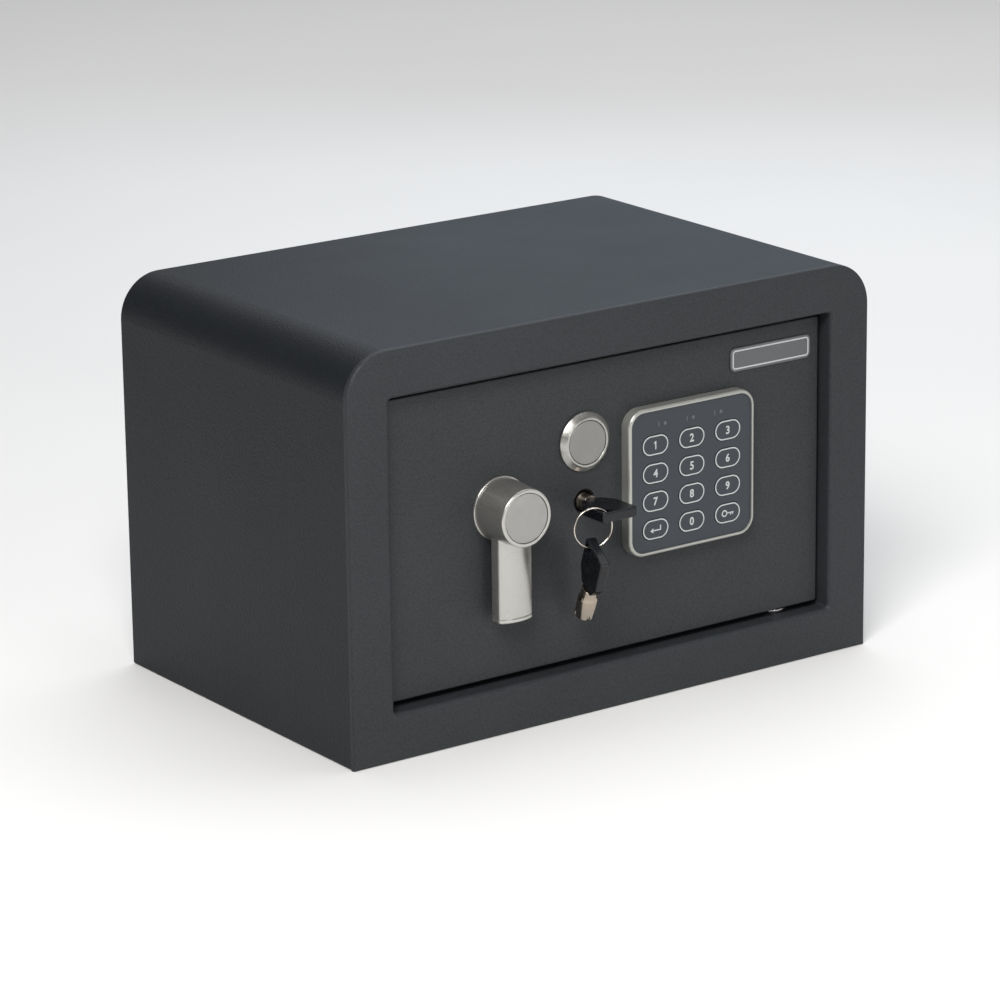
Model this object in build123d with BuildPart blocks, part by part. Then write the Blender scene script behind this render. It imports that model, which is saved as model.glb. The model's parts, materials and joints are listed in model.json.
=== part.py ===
"""Small electronic home safe: welded steel case, swinging door with a lever handle, keypad,
covered override lock with a tubular key in it, and the bolt work behind the door.

Millimetres. +X runs to the right as seen from the front, +Y to the back, +Z up.
The origin is the centre of the underside of the case.
"""
from build123d import *
import math
import os

os.makedirs("parts", exist_ok=True)

# ---- driving dimensions -------------------------------------------------------------------
CASE_W = 310.0
CASE_D = 200.0
CASE_H = 200.0
CORNER_R = 22.0          # the two rounded long top corners
SHEET = 2.0              # wrap and back panel
PLATE = 3.0              # front frame and base
EDGE_R = 1.5             # softened outer edges

OPENING_W = 263.0
OPENING_H = 152.8
OPENING_R = 2.0
RETURN_T = 2.5           # folded return round the doorway
RETURN_BACK_Y = -78.0
MOUTH_R = 2.4            # bend between the frame and its return

DOOR_T = 4.0
DOOR_RECESS = 7.5
DOOR_GAP_SIDE = 2.3
DOOR_GAP_FOOT = 3.1
DOOR_GAP_TOP = 2.5

HINGE_X = 107.0
HINGE_Y = -84.0
HINGE_PIN_R = 4.0
RUNNING = 0.05           # radial clearance of a pin that turns
CLEAR = 0.4              # air between pieces that move past each other

HANDLE_X = -64.5
HANDLE_Z = 110.6
HEAD_R = 15.2
HEAD_FRONT_R = 14.2
HEAD_L = 20.2
LEVER_W = 19.6
LEVER_END_Z = 57.6
LEVER_CAP = 2.0

BOLT_R = 8.0
BOLT_Y = -69.5
BOLT_ZS = (70.0, 130.0)
BOLT_TIP_X = -126.0
THROW = 16.0             # travel of the bolts, to the left

LOCK_X = -15.2
LOCK_Z = 105.0
COVER_Z = 134.9
COVER_R = 14.7
COVER_PIVOT_DROP = 11.5

PAD_X = 45.9
PAD_Z = 109.3
PAD_W = 77.0
PAD_H = 74.0
PAD_T = 6.0
PAD_R = 9.0
KEY_PITCH_X = 22.15
KEY_PITCH_Z = 14.1
KEY_ROW_1_Z = 127.3
KEY_W = 15.7
KEY_H = 10.0

RING_R = 9.7             # key ring, to the middle of its wire
RING_WIRE_R = 0.6
RING_TURN = -14.0        # heading of the ring's plane
SPARE_TILT = 26.0        # lean of the hanging key

# ---- sizes that follow --------------------------------------------------------------------
FRONT_Y = -CASE_D / 2
BACK_Y = CASE_D / 2
OPENING_Z = CASE_H / 2
SILL_Z = OPENING_Z - OPENING_H / 2
HEAD_Z = OPENING_Z + OPENING_H / 2
DOOR_Y = FRONT_Y + DOOR_RECESS
DOOR_BACK_Y = DOOR_Y + DOOR_T
DOOR_W = OPENING_W - 2 * DOOR_GAP_SIDE
DOOR_LOW = SILL_Z + DOOR_GAP_FOOT
DOOR_HIGH = HEAD_Z - DOOR_GAP_TOP
PAD_FRONT_Y = DOOR_Y - PAD_T
CRANK_R = THROW / 2 / math.sin(math.radians(45))
PIN_X = HANDLE_X + THROW / 2
PIN_Z = HANDLE_Z - THROW / 2


def facing(y):
    """Plane parallel to the door at depth y, drawn as seen from the front; it extrudes forwards."""
    return Plane.XZ.offset(-y)


def save(part, name):
    part.part.label = name
    export_step(part.part, f"parts/{name}.step")


def arch(width, top, radius):
    """Upright outline standing on z = 0, square at the foot and rounded at the top."""
    half = width / 2
    with BuildSketch() as outline:
        with BuildLine():
            FilletPolyline((-half, 0), (-half, top), (half, top), (half, 0), radius=radius)
            Line((half, 0), (-half, 0))
        make_face()
    return outline.sketch


# ==== case =================================================================================
ANCHOR_R = 5.5
ANCHOR_X = 90.0
BASE_ANCHOR_Y = 20.0
BACK_ANCHOR_Z = 120.0

# one sheet folded over both sides and the top
with BuildPart() as case_wrap:
    with BuildSketch(facing(BACK_Y)):
        add(arch(CASE_W, CASE_H, CORNER_R))
        add(arch(CASE_W - 2 * SHEET, CASE_H - SHEET, CORNER_R - SHEET), mode=Mode.SUBTRACT)
    extrude(amount=CASE_D - PLATE)
    feet = case_wrap.edges().filter_by(Axis.Y).group_by(Axis.Z)[0].group_by(Axis.X)
    fillet([feet[0][0], feet[-1][0]], SHEET * 0.6)
save(case_wrap, "case_wrap")

with BuildPart() as base_plate:
    with BuildSketch(Plane.XY):
        with Locations((0, (FRONT_Y + PLATE + BACK_Y - SHEET) / 2)):
            Rectangle(CASE_W - 2 * SHEET, CASE_D - PLATE - SHEET)
        with Locations((-ANCHOR_X, BASE_ANCHOR_Y), (ANCHOR_X, BASE_ANCHOR_Y)):
            Circle(ANCHOR_R, mode=Mode.SUBTRACT)
    extrude(amount=PLATE)
save(base_plate, "base_plate")

with BuildPart() as back_panel:
    with BuildSketch(facing(BACK_Y)):
        add(arch(CASE_W - 2 * SHEET, CASE_H - SHEET, CORNER_R - SHEET))
        with Locations((-ANCHOR_X, BACK_ANCHOR_Z), (ANCHOR_X, BACK_ANCHOR_Z)):
            Circle(ANCHOR_R, mode=Mode.SUBTRACT)
    extrude(amount=SHEET)
save(back_panel, "back_panel")

# front frame: flat plate with the doorway, and a return folded back all round it
with BuildPart() as front_frame:
    with BuildSketch(facing(FRONT_Y + PLATE)):
        add(arch(CASE_W, CASE_H, CORNER_R))
    extrude(amount=PLATE)
    fillet(front_frame.faces().sort_by(Axis.Y)[0].outer_wire().edges(), EDGE_R)
    with BuildSketch(facing(RETURN_BACK_Y)):
        with Locations((0, OPENING_Z)):
            RectangleRounded(OPENING_W + 2 * RETURN_T, OPENING_H + 2 * RETURN_T, OPENING_R + RETURN_T)
    extrude(amount=RETURN_BACK_Y - FRONT_Y - PLATE)
    with BuildSketch(facing(RETURN_BACK_Y)):
        with Locations((0, OPENING_Z)):
            RectangleRounded(OPENING_W, OPENING_H, OPENING_R)
    extrude(amount=RETURN_BACK_Y - FRONT_Y, mode=Mode.SUBTRACT)
    mouth = front_frame.faces().sort_by(Axis.Y)[0].inner_wires()[0].edges()
    fillet(mouth, MOUTH_R)
    with BuildSketch(Plane.XY):
        with Locations((HINGE_X, HINGE_Y)):
            Circle(HINGE_PIN_R)
    extrude(amount=CASE_H - SHEET, mode=Mode.SUBTRACT)
save(front_frame, "front_frame")

# two headed pins: each is dropped through a return and stands into a lug of the door
PIN_HEAD_R = 6.0
PIN_HEAD_T = 3.0
PIN_REACH = 13.5
with BuildPart() as hinge_pins:
    for face_z, way in ((SILL_Z, 1), (HEAD_Z, -1)):
        outside = face_z - way * RETURN_T
        with BuildSketch(Plane.XY.offset(outside)):
            with Locations((HINGE_X, HINGE_Y)):
                Circle(HINGE_PIN_R)
        extrude(amount=way * (RETURN_T + PIN_REACH))
        with BuildSketch(Plane.XY.offset(outside)):
            with Locations((HINGE_X, HINGE_Y)):
                Circle(PIN_HEAD_R)
        extrude(amount=-way * PIN_HEAD_T)
    tips = hinge_pins.edges().filter_by(GeomType.CIRCLE).filter_by_position(Axis.Z, 30, 170)
    chamfer(tips, 0.8)
save(hinge_pins, "hinge_pins")

# flanged spacers that carry the lugs; the wide flange is next to the door
WASHER_R = 7.0
WASHER_NECK_R = 5.2
WASHER_T = 2.3
WASHER_NECK_L = 1.1
with BuildPart() as hinge_washers:
    for face_z, way in ((SILL_Z, 1), (HEAD_Z, -1)):
        with BuildSketch(Plane.XY.offset(face_z)):
            with Locations((HINGE_X, HINGE_Y)):
                Circle(WASHER_NECK_R)
        extrude(amount=way * WASHER_NECK_L)
        with BuildSketch(Plane.XY.offset(face_z + way * WASHER_NECK_L)):
            with Locations((HINGE_X, HINGE_Y)):
                Circle(WASHER_R)
        extrude(amount=way * (WASHER_T - WASHER_NECK_L))
        with BuildSketch(Plane.XY.offset(face_z)):
            with Locations((HINGE_X, HINGE_Y)):
                Circle(HINGE_PIN_R + RUNNING)
        extrude(amount=way * WASHER_T, mode=Mode.SUBTRACT)
save(hinge_washers, "hinge_washers")

MAT_T = 3.0
MAT_FRONT_Y = -74.0
MAT_EDGE = 3.0
with BuildPart() as floor_mat:
    with BuildSketch(Plane.XY.offset(PLATE)):
        with Locations((0, (MAT_FRONT_Y + BACK_Y - SHEET - MAT_EDGE) / 2)):
            Rectangle(CASE_W - 2 * SHEET - 2 * MAT_EDGE, BACK_Y - SHEET - MAT_EDGE - MAT_FRONT_Y)
        with Locations((-ANCHOR_X, BASE_ANCHOR_Y), (ANCHOR_X, BASE_ANCHOR_Y)):
            Circle(2 * ANCHOR_R, mode=Mode.SUBTRACT)
    extrude(amount=MAT_T)
save(floor_mat, "floor_mat")

# ==== door =================================================================================
BUSH_R = 7.0
NOSE_R = 6.0
LOCK_HOLE_R = 6.2
CABLE_HOLE_R = 7.0
COVER_PIN_R = 1.5
PAD_SCREW_R = 1.25
PAD_BOSSES = [(31.5, 30.0), (-31.5, 30.0), (KEY_PITCH_X / 2, -31.0), (-KEY_PITCH_X / 2, -31.0)]
DOOR_CORNER_R = 1.5
DOOR_EDGE_R = 0.8

with BuildPart() as door_plate:
    with BuildSketch(facing(DOOR_BACK_Y)):
        with Locations((0, (DOOR_LOW + DOOR_HIGH) / 2)):
            RectangleRounded(DOOR_W, DOOR_HIGH - DOOR_LOW, DOOR_CORNER_R)
        with Locations((HANDLE_X, HANDLE_Z)):
            Circle(BUSH_R, mode=Mode.SUBTRACT)
        with Locations((LOCK_X, LOCK_Z)):
            Circle(LOCK_HOLE_R, mode=Mode.SUBTRACT)
        with Locations((LOCK_X, COVER_Z - COVER_PIVOT_DROP)):
            Circle(COVER_PIN_R, mode=Mode.SUBTRACT)
        with Locations((PAD_X, PAD_Z)):
            Circle(CABLE_HOLE_R, mode=Mode.SUBTRACT)
            with Locations(*PAD_BOSSES):
                Circle(PAD_SCREW_R, mode=Mode.SUBTRACT)
    extrude(amount=DOOR_T)
    fillet(door_plate.faces().sort_by(Axis.Y)[0].outer_wire().edges(), DOOR_EDGE_R)
save(door_plate, "door_plate")

# lugs welded behind the door plate, top and bottom, bored for the hinge pins
LUG_T = 4.0
LUG_R = 8.5
LUG_STEP = 0.2           # the upper lug lies this far below the top of the door
with BuildPart() as hinge_lugs:
    for foot_z in (DOOR_LOW, DOOR_HIGH - LUG_STEP - LUG_T):
        with BuildSketch(Plane.XY.offset(foot_z)):
            with Locations((HINGE_X, HINGE_Y)):
                Circle(LUG_R)
            with Locations((HINGE_X, (DOOR_BACK_Y + HINGE_Y) / 2)):
                Rectangle(2 * LUG_R, HINGE_Y - DOOR_BACK_Y)
            with Locations((HINGE_X, DOOR_BACK_Y - LUG_R)):
                Rectangle(3 * LUG_R, 2 * LUG_R, mode=Mode.SUBTRACT)
            with Locations((HINGE_X, HINGE_Y)):
                Circle(HINGE_PIN_R + RUNNING, mode=Mode.SUBTRACT)
        extrude(amount=LUG_T)
save(hinge_lugs, "hinge_lugs")

# angle bar on the hinge side that stands behind the frame when the door is shut
DOG_X = 116.0
DOG_T = 3.0
DOG_REACH_X = 138.0
DOG_BACK_Y = -74.0
DOG_L = 100.0
DOG_BEND_R = 2.0
with BuildPart() as dog_bar:
    with BuildSketch(Plane.XY.offset((CASE_H - DOG_L) / 2)):
        with BuildLine():
            Polyline(
                (DOG_X, DOOR_BACK_Y),
                (DOG_X, DOG_BACK_Y),
                (DOG_REACH_X, DOG_BACK_Y),
                (DOG_REACH_X, DOG_BACK_Y - DOG_T),
                (DOG_X + DOG_T, DOG_BACK_Y - DOG_T),
                (DOG_X + DOG_T, DOOR_BACK_Y),
                close=True,
            )
        make_face()
    extrude(amount=DOG_L)
    fillet(dog_bar.edges().filter_by(Axis.Z).sort_by_distance((DOG_X, DOG_BACK_Y, CASE_H / 2))[0], DOG_BEND_R)
save(dog_bar, "dog_bar")

# inner cover: sheet pan over the bolt work, with rails for the battery lid
PAN_LEFT, PAN_RIGHT = -112.0, 92.0
PAN_LOW, PAN_HIGH = 30.0, 170.0
PAN_BACK_Y = -52.0
PAN_T = 1.2
PAN_R = 3.0              # upright corners of the pan
PAN_EDGE_R = 2.0
PAN_X = (PAN_LEFT + PAN_RIGHT) / 2
PAN_Z = (PAN_LOW + PAN_HIGH) / 2
LID_LEFT, LID_RIGHT = 19.0, 87.0
LID_LOW, LID_HIGH = 33.0, 95.0
LID_T = 1.7
LID_TRAVEL = 58.0
LID_AIR = 0.3            # between the lid and the pan or its rails
LID_LEDGE = 3.0          # the lid laps the opening by this much
LID_FRONT_Y = PAN_BACK_Y + LID_AIR
RAIL_T = 0.8
RAIL_LIP = 1.6
RESET_X, RESET_Z = 0.0, 145.0
RESET_R = 3.0
POSTS = [(-100, 40), (-100, 160), (5, 40), (84, 162)]
POST_R = 3.5
SCREW_R = 1.75

with BuildPart() as inner_cover:
    with BuildSketch(facing(PAN_BACK_Y)):
        with Locations((PAN_X, PAN_Z)):
            RectangleRounded(PAN_RIGHT - PAN_LEFT, PAN_HIGH - PAN_LOW, PAN_R)
    extrude(amount=PAN_BACK_Y - DOOR_BACK_Y)
    fillet(inner_cover.faces().sort_by(Axis.Y)[-1].outer_wire().edges(), PAN_EDGE_R)
    with BuildSketch(facing(PAN_BACK_Y - PAN_T)):
        with Locations((PAN_X, PAN_Z)):
            RectangleRounded(PAN_RIGHT - PAN_LEFT - 2 * PAN_T, PAN_HIGH - PAN_LOW - 2 * PAN_T, PAN_R - PAN_T)
    extrude(amount=PAN_BACK_Y - DOOR_BACK_Y, mode=Mode.SUBTRACT)
    with BuildSketch(facing(PAN_BACK_Y)):
        with Locations(((LID_LEFT + LID_RIGHT) / 2, (LID_LOW + LID_HIGH) / 2)):
            Rectangle(LID_RIGHT - LID_LEFT - 2 * LID_LEDGE, LID_HIGH - LID_LOW - 2 * LID_LEDGE)
        with Locations((RESET_X, RESET_Z)):
            Circle(RESET_R + LID_AIR)
        with Locations(*POSTS):
            Circle(SCREW_R)
    extrude(amount=2 * PAN_T, mode=Mode.SUBTRACT)
    with BuildSketch(Plane.YZ.offset(PAN_LEFT - 1)):
        with Locations(*[(BOLT_Y, z) for z in BOLT_ZS]):
            Circle(BOLT_R + CLEAR)
    extrude(amount=2 + PAN_T, mode=Mode.SUBTRACT)
    rail_top = LID_HIGH + LID_TRAVEL
    for edge_x, way in ((LID_LEFT, -1), (LID_RIGHT, 1)):
        foot_x = edge_x + way * CLEAR
        lip_y = LID_FRONT_Y + LID_T + LID_AIR
        with BuildSketch(Plane.XY.offset(LID_LOW)):
            with BuildLine():
                Polyline(
                    (foot_x, PAN_BACK_Y),
                    (foot_x, lip_y),
                    (foot_x - way * RAIL_LIP, lip_y),
                    (foot_x - way * RAIL_LIP, lip_y + RAIL_T),
                    (foot_x + way * RAIL_T, lip_y + RAIL_T),
                    (foot_x + way * RAIL_T, PAN_BACK_Y),
                    close=True,
                )
            make_face()
        extrude(amount=rail_top - LID_LOW)
save(inner_cover, "inner_cover")

SCREW_HEAD_R = 3.4
SCREW_HEAD_T = 1.6
SCREW_L = 8.0
CROSS_L, CROSS_W, CROSS_DEEP = 3.4, 0.7, 0.9
with BuildPart() as cover_screws:
    with BuildSketch(facing(PAN_BACK_Y + SCREW_HEAD_T)):
        with Locations(*POSTS):
            Circle(SCREW_HEAD_R)
    extrude(amount=SCREW_HEAD_T)
    fillet(cover_screws.faces().group_by(Axis.Y)[-1].edges(), 1.0)
    with BuildSketch(facing(PAN_BACK_Y)):
        with Locations(*POSTS):
            Circle(SCREW_R)
    extrude(amount=SCREW_L)
    with BuildSketch(facing(PAN_BACK_Y + SCREW_HEAD_T)):
        with Locations(*POSTS):
            Rectangle(CROSS_L, CROSS_W)
            Rectangle(CROSS_W, CROSS_L)
    extrude(amount=CROSS_DEEP, mode=Mode.SUBTRACT)
save(cover_screws, "cover_screws")

# blank nameplate near the top right corner of the door
BADGE_X, BADGE_Z = 98.5, 160.0
BADGE_W, BADGE_H = 50.0, 12.0
BADGE_R = 3.0
BADGE_T = 0.8
with BuildPart() as nameplate:
    with BuildSketch(facing(DOOR_Y)):
        with Locations((BADGE_X, BADGE_Z)):
            RectangleRounded(BADGE_W, BADGE_H, BADGE_R)
    extrude(amount=BADGE_T)
    fillet(nameplate.faces().sort_by(Axis.Y)[0].edges(), BADGE_T / 3)
save(nameplate, "nameplate")

# ==== keypad ===============================================================================
PANEL_INSET = 1.7
PAD_EDGE_R = 1.2
PAD_LEDGE = 1.5          # the panel rests on this much of the housing
PANEL_LOW = 0.8          # the panel lies this far below the rim
PANEL_T = 1.5
POCKET_W = PAD_W - 2 * PANEL_INSET
POCKET_H = PAD_H - 2 * PANEL_INSET
PANEL_Y = PAD_FRONT_Y + PANEL_LOW
PANEL_BACK_Y = PANEL_Y + PANEL_T
CAVITY_W = POCKET_W - 2 * PAD_LEDGE
CAVITY_H = POCKET_H - 2 * PAD_LEDGE
BOSS_R = 2.0
KEYS = {
    "1": (-1, 0), "2": (0, 0), "3": (1, 0),
    "4": (-1, 1), "5": (0, 1), "6": (1, 1),
    "7": (-1, 2), "8": (0, 2), "9": (1, 2),
    "enter": (-1, 3), "0": (0, 3), "clear": (1, 3),
}
KEY_PLACES = {
    name: (PAD_X + column * KEY_PITCH_X, KEY_ROW_1_Z - row * KEY_PITCH_Z)
    for name, (column, row) in KEYS.items()
}
KEY_GAP = 0.25
LED_Z = 137.3
LED_XS = (29.8, 47.0, 64.0)
LED_R = 0.9

with BuildPart() as keypad_housing:
    with BuildSketch(facing(DOOR_Y)):
        with Locations((PAD_X, PAD_Z)):
            RectangleRounded(PAD_W, PAD_H, PAD_R)
    extrude(amount=PAD_T)
    fillet(keypad_housing.faces().sort_by(Axis.Y)[0].edges(), PAD_EDGE_R)
    with BuildSketch(facing(PANEL_BACK_Y)):
        with Locations((PAD_X, PAD_Z)):
            RectangleRounded(POCKET_W, POCKET_H, PAD_R - PANEL_INSET)
    extrude(amount=PAD_T, mode=Mode.SUBTRACT)
    with BuildSketch(facing(DOOR_Y)):
        with Locations((PAD_X, PAD_Z)):
            RectangleRounded(CAVITY_W, CAVITY_H, PAD_R - PANEL_INSET - PAD_LEDGE)
    extrude(amount=DOOR_Y - PANEL_BACK_Y, mode=Mode.SUBTRACT)
save(keypad_housing, "keypad_housing")

with BuildPart() as keypad_panel:
    with BuildSketch(facing(PANEL_BACK_Y)):
        with Locations((PAD_X, PAD_Z)):
            RectangleRounded(POCKET_W, POCKET_H, PAD_R - PANEL_INSET)
        with Locations(*KEY_PLACES.values()):
            SlotOverall(KEY_W + 2 * KEY_GAP, KEY_H + 2 * KEY_GAP, mode=Mode.SUBTRACT)
        with Locations(*[(x, LED_Z) for x in LED_XS]):
            Circle(LED_R, mode=Mode.SUBTRACT)
    extrude(amount=PANEL_T)
    with BuildSketch(facing(DOOR_Y)):
        with Locations((PAD_X, PAD_Z)):
            with Locations(*PAD_BOSSES):
                Circle(BOSS_R)
    extrude(amount=DOOR_Y - PANEL_BACK_Y)
    with BuildSketch(facing(DOOR_Y)):
        with Locations((PAD_X, PAD_Z)):
            with Locations(*PAD_BOSSES):
                Circle(PAD_SCREW_R)
    extrude(amount=DOOR_Y - PANEL_BACK_Y, mode=Mode.SUBTRACT)
save(keypad_panel, "keypad_panel")

# twelve pill-shaped keys, each held behind the panel by its flange
KEY_PROUD = 0.3
KEY_FLANGE = 0.85
KEY_FLANGE_T = 0.8
KEY_NECK = 0.3           # the key stands this far out behind the panel
KEY_EDGE_R = 0.25
for name, (key_x, key_z) in KEY_PLACES.items():
    with BuildPart() as keypad_key:
        with BuildSketch(facing(PANEL_BACK_Y + KEY_NECK)):
            with Locations((key_x, key_z)):
                SlotOverall(KEY_W, KEY_H)
        extrude(amount=PANEL_T + KEY_NECK + KEY_PROUD)
        fillet(keypad_key.faces().sort_by(Axis.Y)[0].edges(), KEY_EDGE_R)
        with BuildSketch(facing(PANEL_BACK_Y + KEY_NECK + KEY_FLANGE_T)):
            with Locations((key_x, key_z)):
                SlotOverall(KEY_W + 2 * KEY_FLANGE, KEY_H + 2 * KEY_FLANGE)
        extrude(amount=KEY_FLANGE_T)
    save(keypad_key, f"key_{name}")

with BuildPart() as led_lenses:
    with BuildSketch(facing(PANEL_BACK_Y)):
        with Locations(*[(x, LED_Z) for x in LED_XS]):
            Circle(LED_R)
    extrude(amount=PANEL_T + 0.1)
save(led_lenses, "led_lenses")

BOARD_T = 1.4
BOARD_R = 5.5
BOARD_AIR = 0.5          # all round the board and its boss holes
with BuildPart() as keypad_board:
    with BuildSketch(facing(DOOR_Y)):
        with Locations((PAD_X, PAD_Z)):
            RectangleRounded(CAVITY_W - 2 * BOARD_AIR, CAVITY_H - 2 * BOARD_AIR, BOARD_R)
            with Locations(*PAD_BOSSES):
                Circle(BOSS_R + BOARD_AIR, mode=Mode.SUBTRACT)
    extrude(amount=BOARD_T)
save(keypad_board, "keypad_board")

PAD_SCREW_HEAD_T = 2.0
PAD_SCREW_GRIP = 3.0     # into the bosses of the panel
with BuildPart() as keypad_screws:
    with BuildSketch(facing(DOOR_BACK_Y + PAD_SCREW_HEAD_T)):
        with Locations((PAD_X, PAD_Z)):
            with Locations(*PAD_BOSSES):
                Circle(2 * PAD_SCREW_R)
    extrude(amount=PAD_SCREW_HEAD_T)
    with BuildSketch(facing(DOOR_BACK_Y)):
        with Locations((PAD_X, PAD_Z)):
            with Locations(*PAD_BOSSES):
                Circle(PAD_SCREW_R)
    extrude(amount=DOOR_T + PAD_SCREW_GRIP)
save(keypad_screws, "keypad_screws")

# ==== handle ===============================================================================
BUSH_FLANGE_R = 15.8
BUSH_FLANGE_T = 1.0
SPINDLE_R = 5.0
HEAD_BACK_Y = DOOR_Y - BUSH_FLANGE_T - 0.3
HEAD_FRONT_Y = HEAD_BACK_Y - HEAD_L
LEVER_BACK_Y = -97.8
LEVER_SIDE = 6.6
LEVER_CROWN = 2.6
LEVER_EDGE_R = 2.4
LEVER_BACK_R = 1.2
CAP_SEAM = 0.3           # chamfers that meet in the seam of the end cap
CAP_EDGE_R = 0.7
HEAD_EDGE_R = 0.8
SPINDLE_SOCKET = 8.0
INSET_R = 12.1
INSET_T = 1.5
INSET_SEAM = 0.3
CRANK_Y = DOOR_BACK_Y + 4.0
CRANK_T = 3.0
CRANK_PIN_R = 2.5
CRANK_PIN_L = 9.0
CRANK_HUB_R, CRANK_TIP_R = 9.0, 5.0
NUT_T = 4.0
NUT_FLAT_R = 8.0

with BuildPart() as handle_bush:
    with BuildSketch(facing(DOOR_BACK_Y)):
        with Locations((HANDLE_X, HANDLE_Z)):
            Circle(BUSH_R)
    extrude(amount=DOOR_T)
    with BuildSketch(facing(DOOR_Y)):
        with Locations((HANDLE_X, HANDLE_Z)):
            Circle(BUSH_FLANGE_R)
    extrude(amount=BUSH_FLANGE_T)
    fillet(handle_bush.faces().sort_by(Axis.Y)[0].outer_wire().edges(), 0.5)
    with BuildSketch(facing(DOOR_BACK_Y)):
        with Locations((HANDLE_X, HANDLE_Z)):
            Circle(SPINDLE_R + RUNNING)
    extrude(amount=DOOR_T + BUSH_FLANGE_T, mode=Mode.SUBTRACT)
save(handle_bush, "handle_bush")


def lever_section():
    """Flat back, straight sides and a crowned front, seen along the lever."""
    half = LEVER_W / 2
    shoulder_y = LEVER_BACK_Y - LEVER_SIDE
    with BuildSketch() as section:
        with BuildLine():
            Polyline(
                (HANDLE_X - half, shoulder_y),
                (HANDLE_X - half, LEVER_BACK_Y),
                (HANDLE_X + half, LEVER_BACK_Y),
                (HANDLE_X + half, shoulder_y),
            )
            ThreePointArc(
                (HANDLE_X + half, shoulder_y),
                (HANDLE_X, shoulder_y - LEVER_CROWN),
                (HANDLE_X - half, shoulder_y),
            )
        make_face()
        fillet(section.vertices().group_by(Axis.Y)[0], LEVER_EDGE_R)
        fillet(section.vertices().group_by(Axis.Y)[-1], LEVER_BACK_R)
    return section.sketch


with BuildPart() as handle:
    with BuildSketch(Plane.XY.offset(LEVER_END_Z + LEVER_CAP)):
        add(lever_section())
    extrude(amount=HANDLE_Z - LEVER_END_Z - LEVER_CAP)
    chamfer(handle.faces().sort_by(Axis.Z)[0].edges(), CAP_SEAM)
    with BuildSketch(facing(HEAD_BACK_Y)):
        with Locations((HANDLE_X, HANDLE_Z)):
            Circle(HEAD_R)
    extrude(amount=HEAD_L, taper=math.degrees(math.atan((HEAD_R - HEAD_FRONT_R) / HEAD_L)))
    fillet(handle.faces().sort_by(Axis.Y)[0].edges(), HEAD_EDGE_R)
    with BuildSketch(facing(HEAD_FRONT_Y + INSET_T)):
        with Locations((HANDLE_X, HANDLE_Z)):
            Circle(INSET_R + INSET_SEAM)
    extrude(amount=INSET_T, mode=Mode.SUBTRACT)
    with BuildSketch(facing(HEAD_BACK_Y)):
        with Locations((HANDLE_X, HANDLE_Z)):
            Circle(SPINDLE_R)
    extrude(amount=SPINDLE_SOCKET, mode=Mode.SUBTRACT)
save(handle, "handle")

with BuildPart() as handle_inset:
    with BuildSketch(facing(HEAD_FRONT_Y + INSET_T)):
        with Locations((HANDLE_X, HANDLE_Z)):
            Circle(INSET_R)
    extrude(amount=INSET_T - 0.2)
    fillet(handle_inset.faces().sort_by(Axis.Y)[0].edges(), 0.3)
save(handle_inset, "handle_inset")

with BuildPart() as handle_end_cap:
    with BuildSketch(Plane.XY.offset(LEVER_END_Z)):
        add(lever_section())
    extrude(amount=LEVER_CAP)
    chamfer(handle_end_cap.faces().sort_by(Axis.Z)[-1].edges(), CAP_SEAM)
    fillet(handle_end_cap.faces().sort_by(Axis.Z)[0].edges(), CAP_EDGE_R)
save(handle_end_cap, "handle_end_cap")

with BuildPart() as handle_spindle:
    with BuildSketch(facing(CRANK_Y + NUT_T + 0.5)):
        with Locations((HANDLE_X, HANDLE_Z)):
            Circle(SPINDLE_R)
    extrude(amount=CRANK_Y + NUT_T + 0.5 - HEAD_BACK_Y + SPINDLE_SOCKET)
save(handle_spindle, "handle_spindle")

# crank on the spindle; its pin drives the bolt plate
with BuildPart() as handle_crank:
    with BuildSketch(facing(CRANK_Y)):
        with Locations((HANDLE_X, HANDLE_Z)):
            Circle(CRANK_HUB_R)
        with Locations((PIN_X, PIN_Z)):
            Circle(CRANK_TIP_R)
        make_hull()
        with Locations((HANDLE_X, HANDLE_Z)):
            Circle(SPINDLE_R, mode=Mode.SUBTRACT)
    extrude(amount=CRANK_T)
    with BuildSketch(facing(CRANK_Y + CRANK_PIN_L)):
        with Locations((PIN_X, PIN_Z)):
            Circle(CRANK_PIN_R)
    extrude(amount=CRANK_PIN_L)
save(handle_crank, "handle_crank")

with BuildPart() as spindle_nut:
    with BuildSketch(facing(CRANK_Y + NUT_T)):
        with Locations((HANDLE_X, HANDLE_Z)):
            RegularPolygon(NUT_FLAT_R, 6, major_radius=False)
            Circle(SPINDLE_R, mode=Mode.SUBTRACT)
    extrude(amount=NUT_T)
save(spindle_nut, "spindle_nut")

# ==== bolt work ============================================================================
PLATE_Y = -79.5          # front of the sliding plate
PLATE_T = 2.5
FLANGE_X = -92.0
PLATE_RIGHT = -18.5
PLATE_LOW, PLATE_HIGH = 62.0, 138.0
GUIDES = [(-48.0, 84.0), (-48.0, 126.0)]
GUIDE_R = 3.5
GUIDE_HEAD_R = 5.5
SLOT_W = 2 * CRANK_PIN_R + 1.4
SOL_X = -30.0
SOL_Y = PLATE_Y + PLATE_T / 2
STEP_Z = 70.0            # raised lower edge over the solenoid
STEP_W = 43.0
LOCK_NOTCH_W, LOCK_NOTCH_H = 31.0, 30.0
PLUNGER_NOTCH_W, PLUNGER_NOTCH_H = 9.0, 12.0
CRANK_SLOT_L = 14.0
SPIGOT_R = 4.0           # each bolt is riveted over behind the flange
RIVET_R, RIVET_T = 5.5, 1.2
BOLT_LEAD = 1.5

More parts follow.
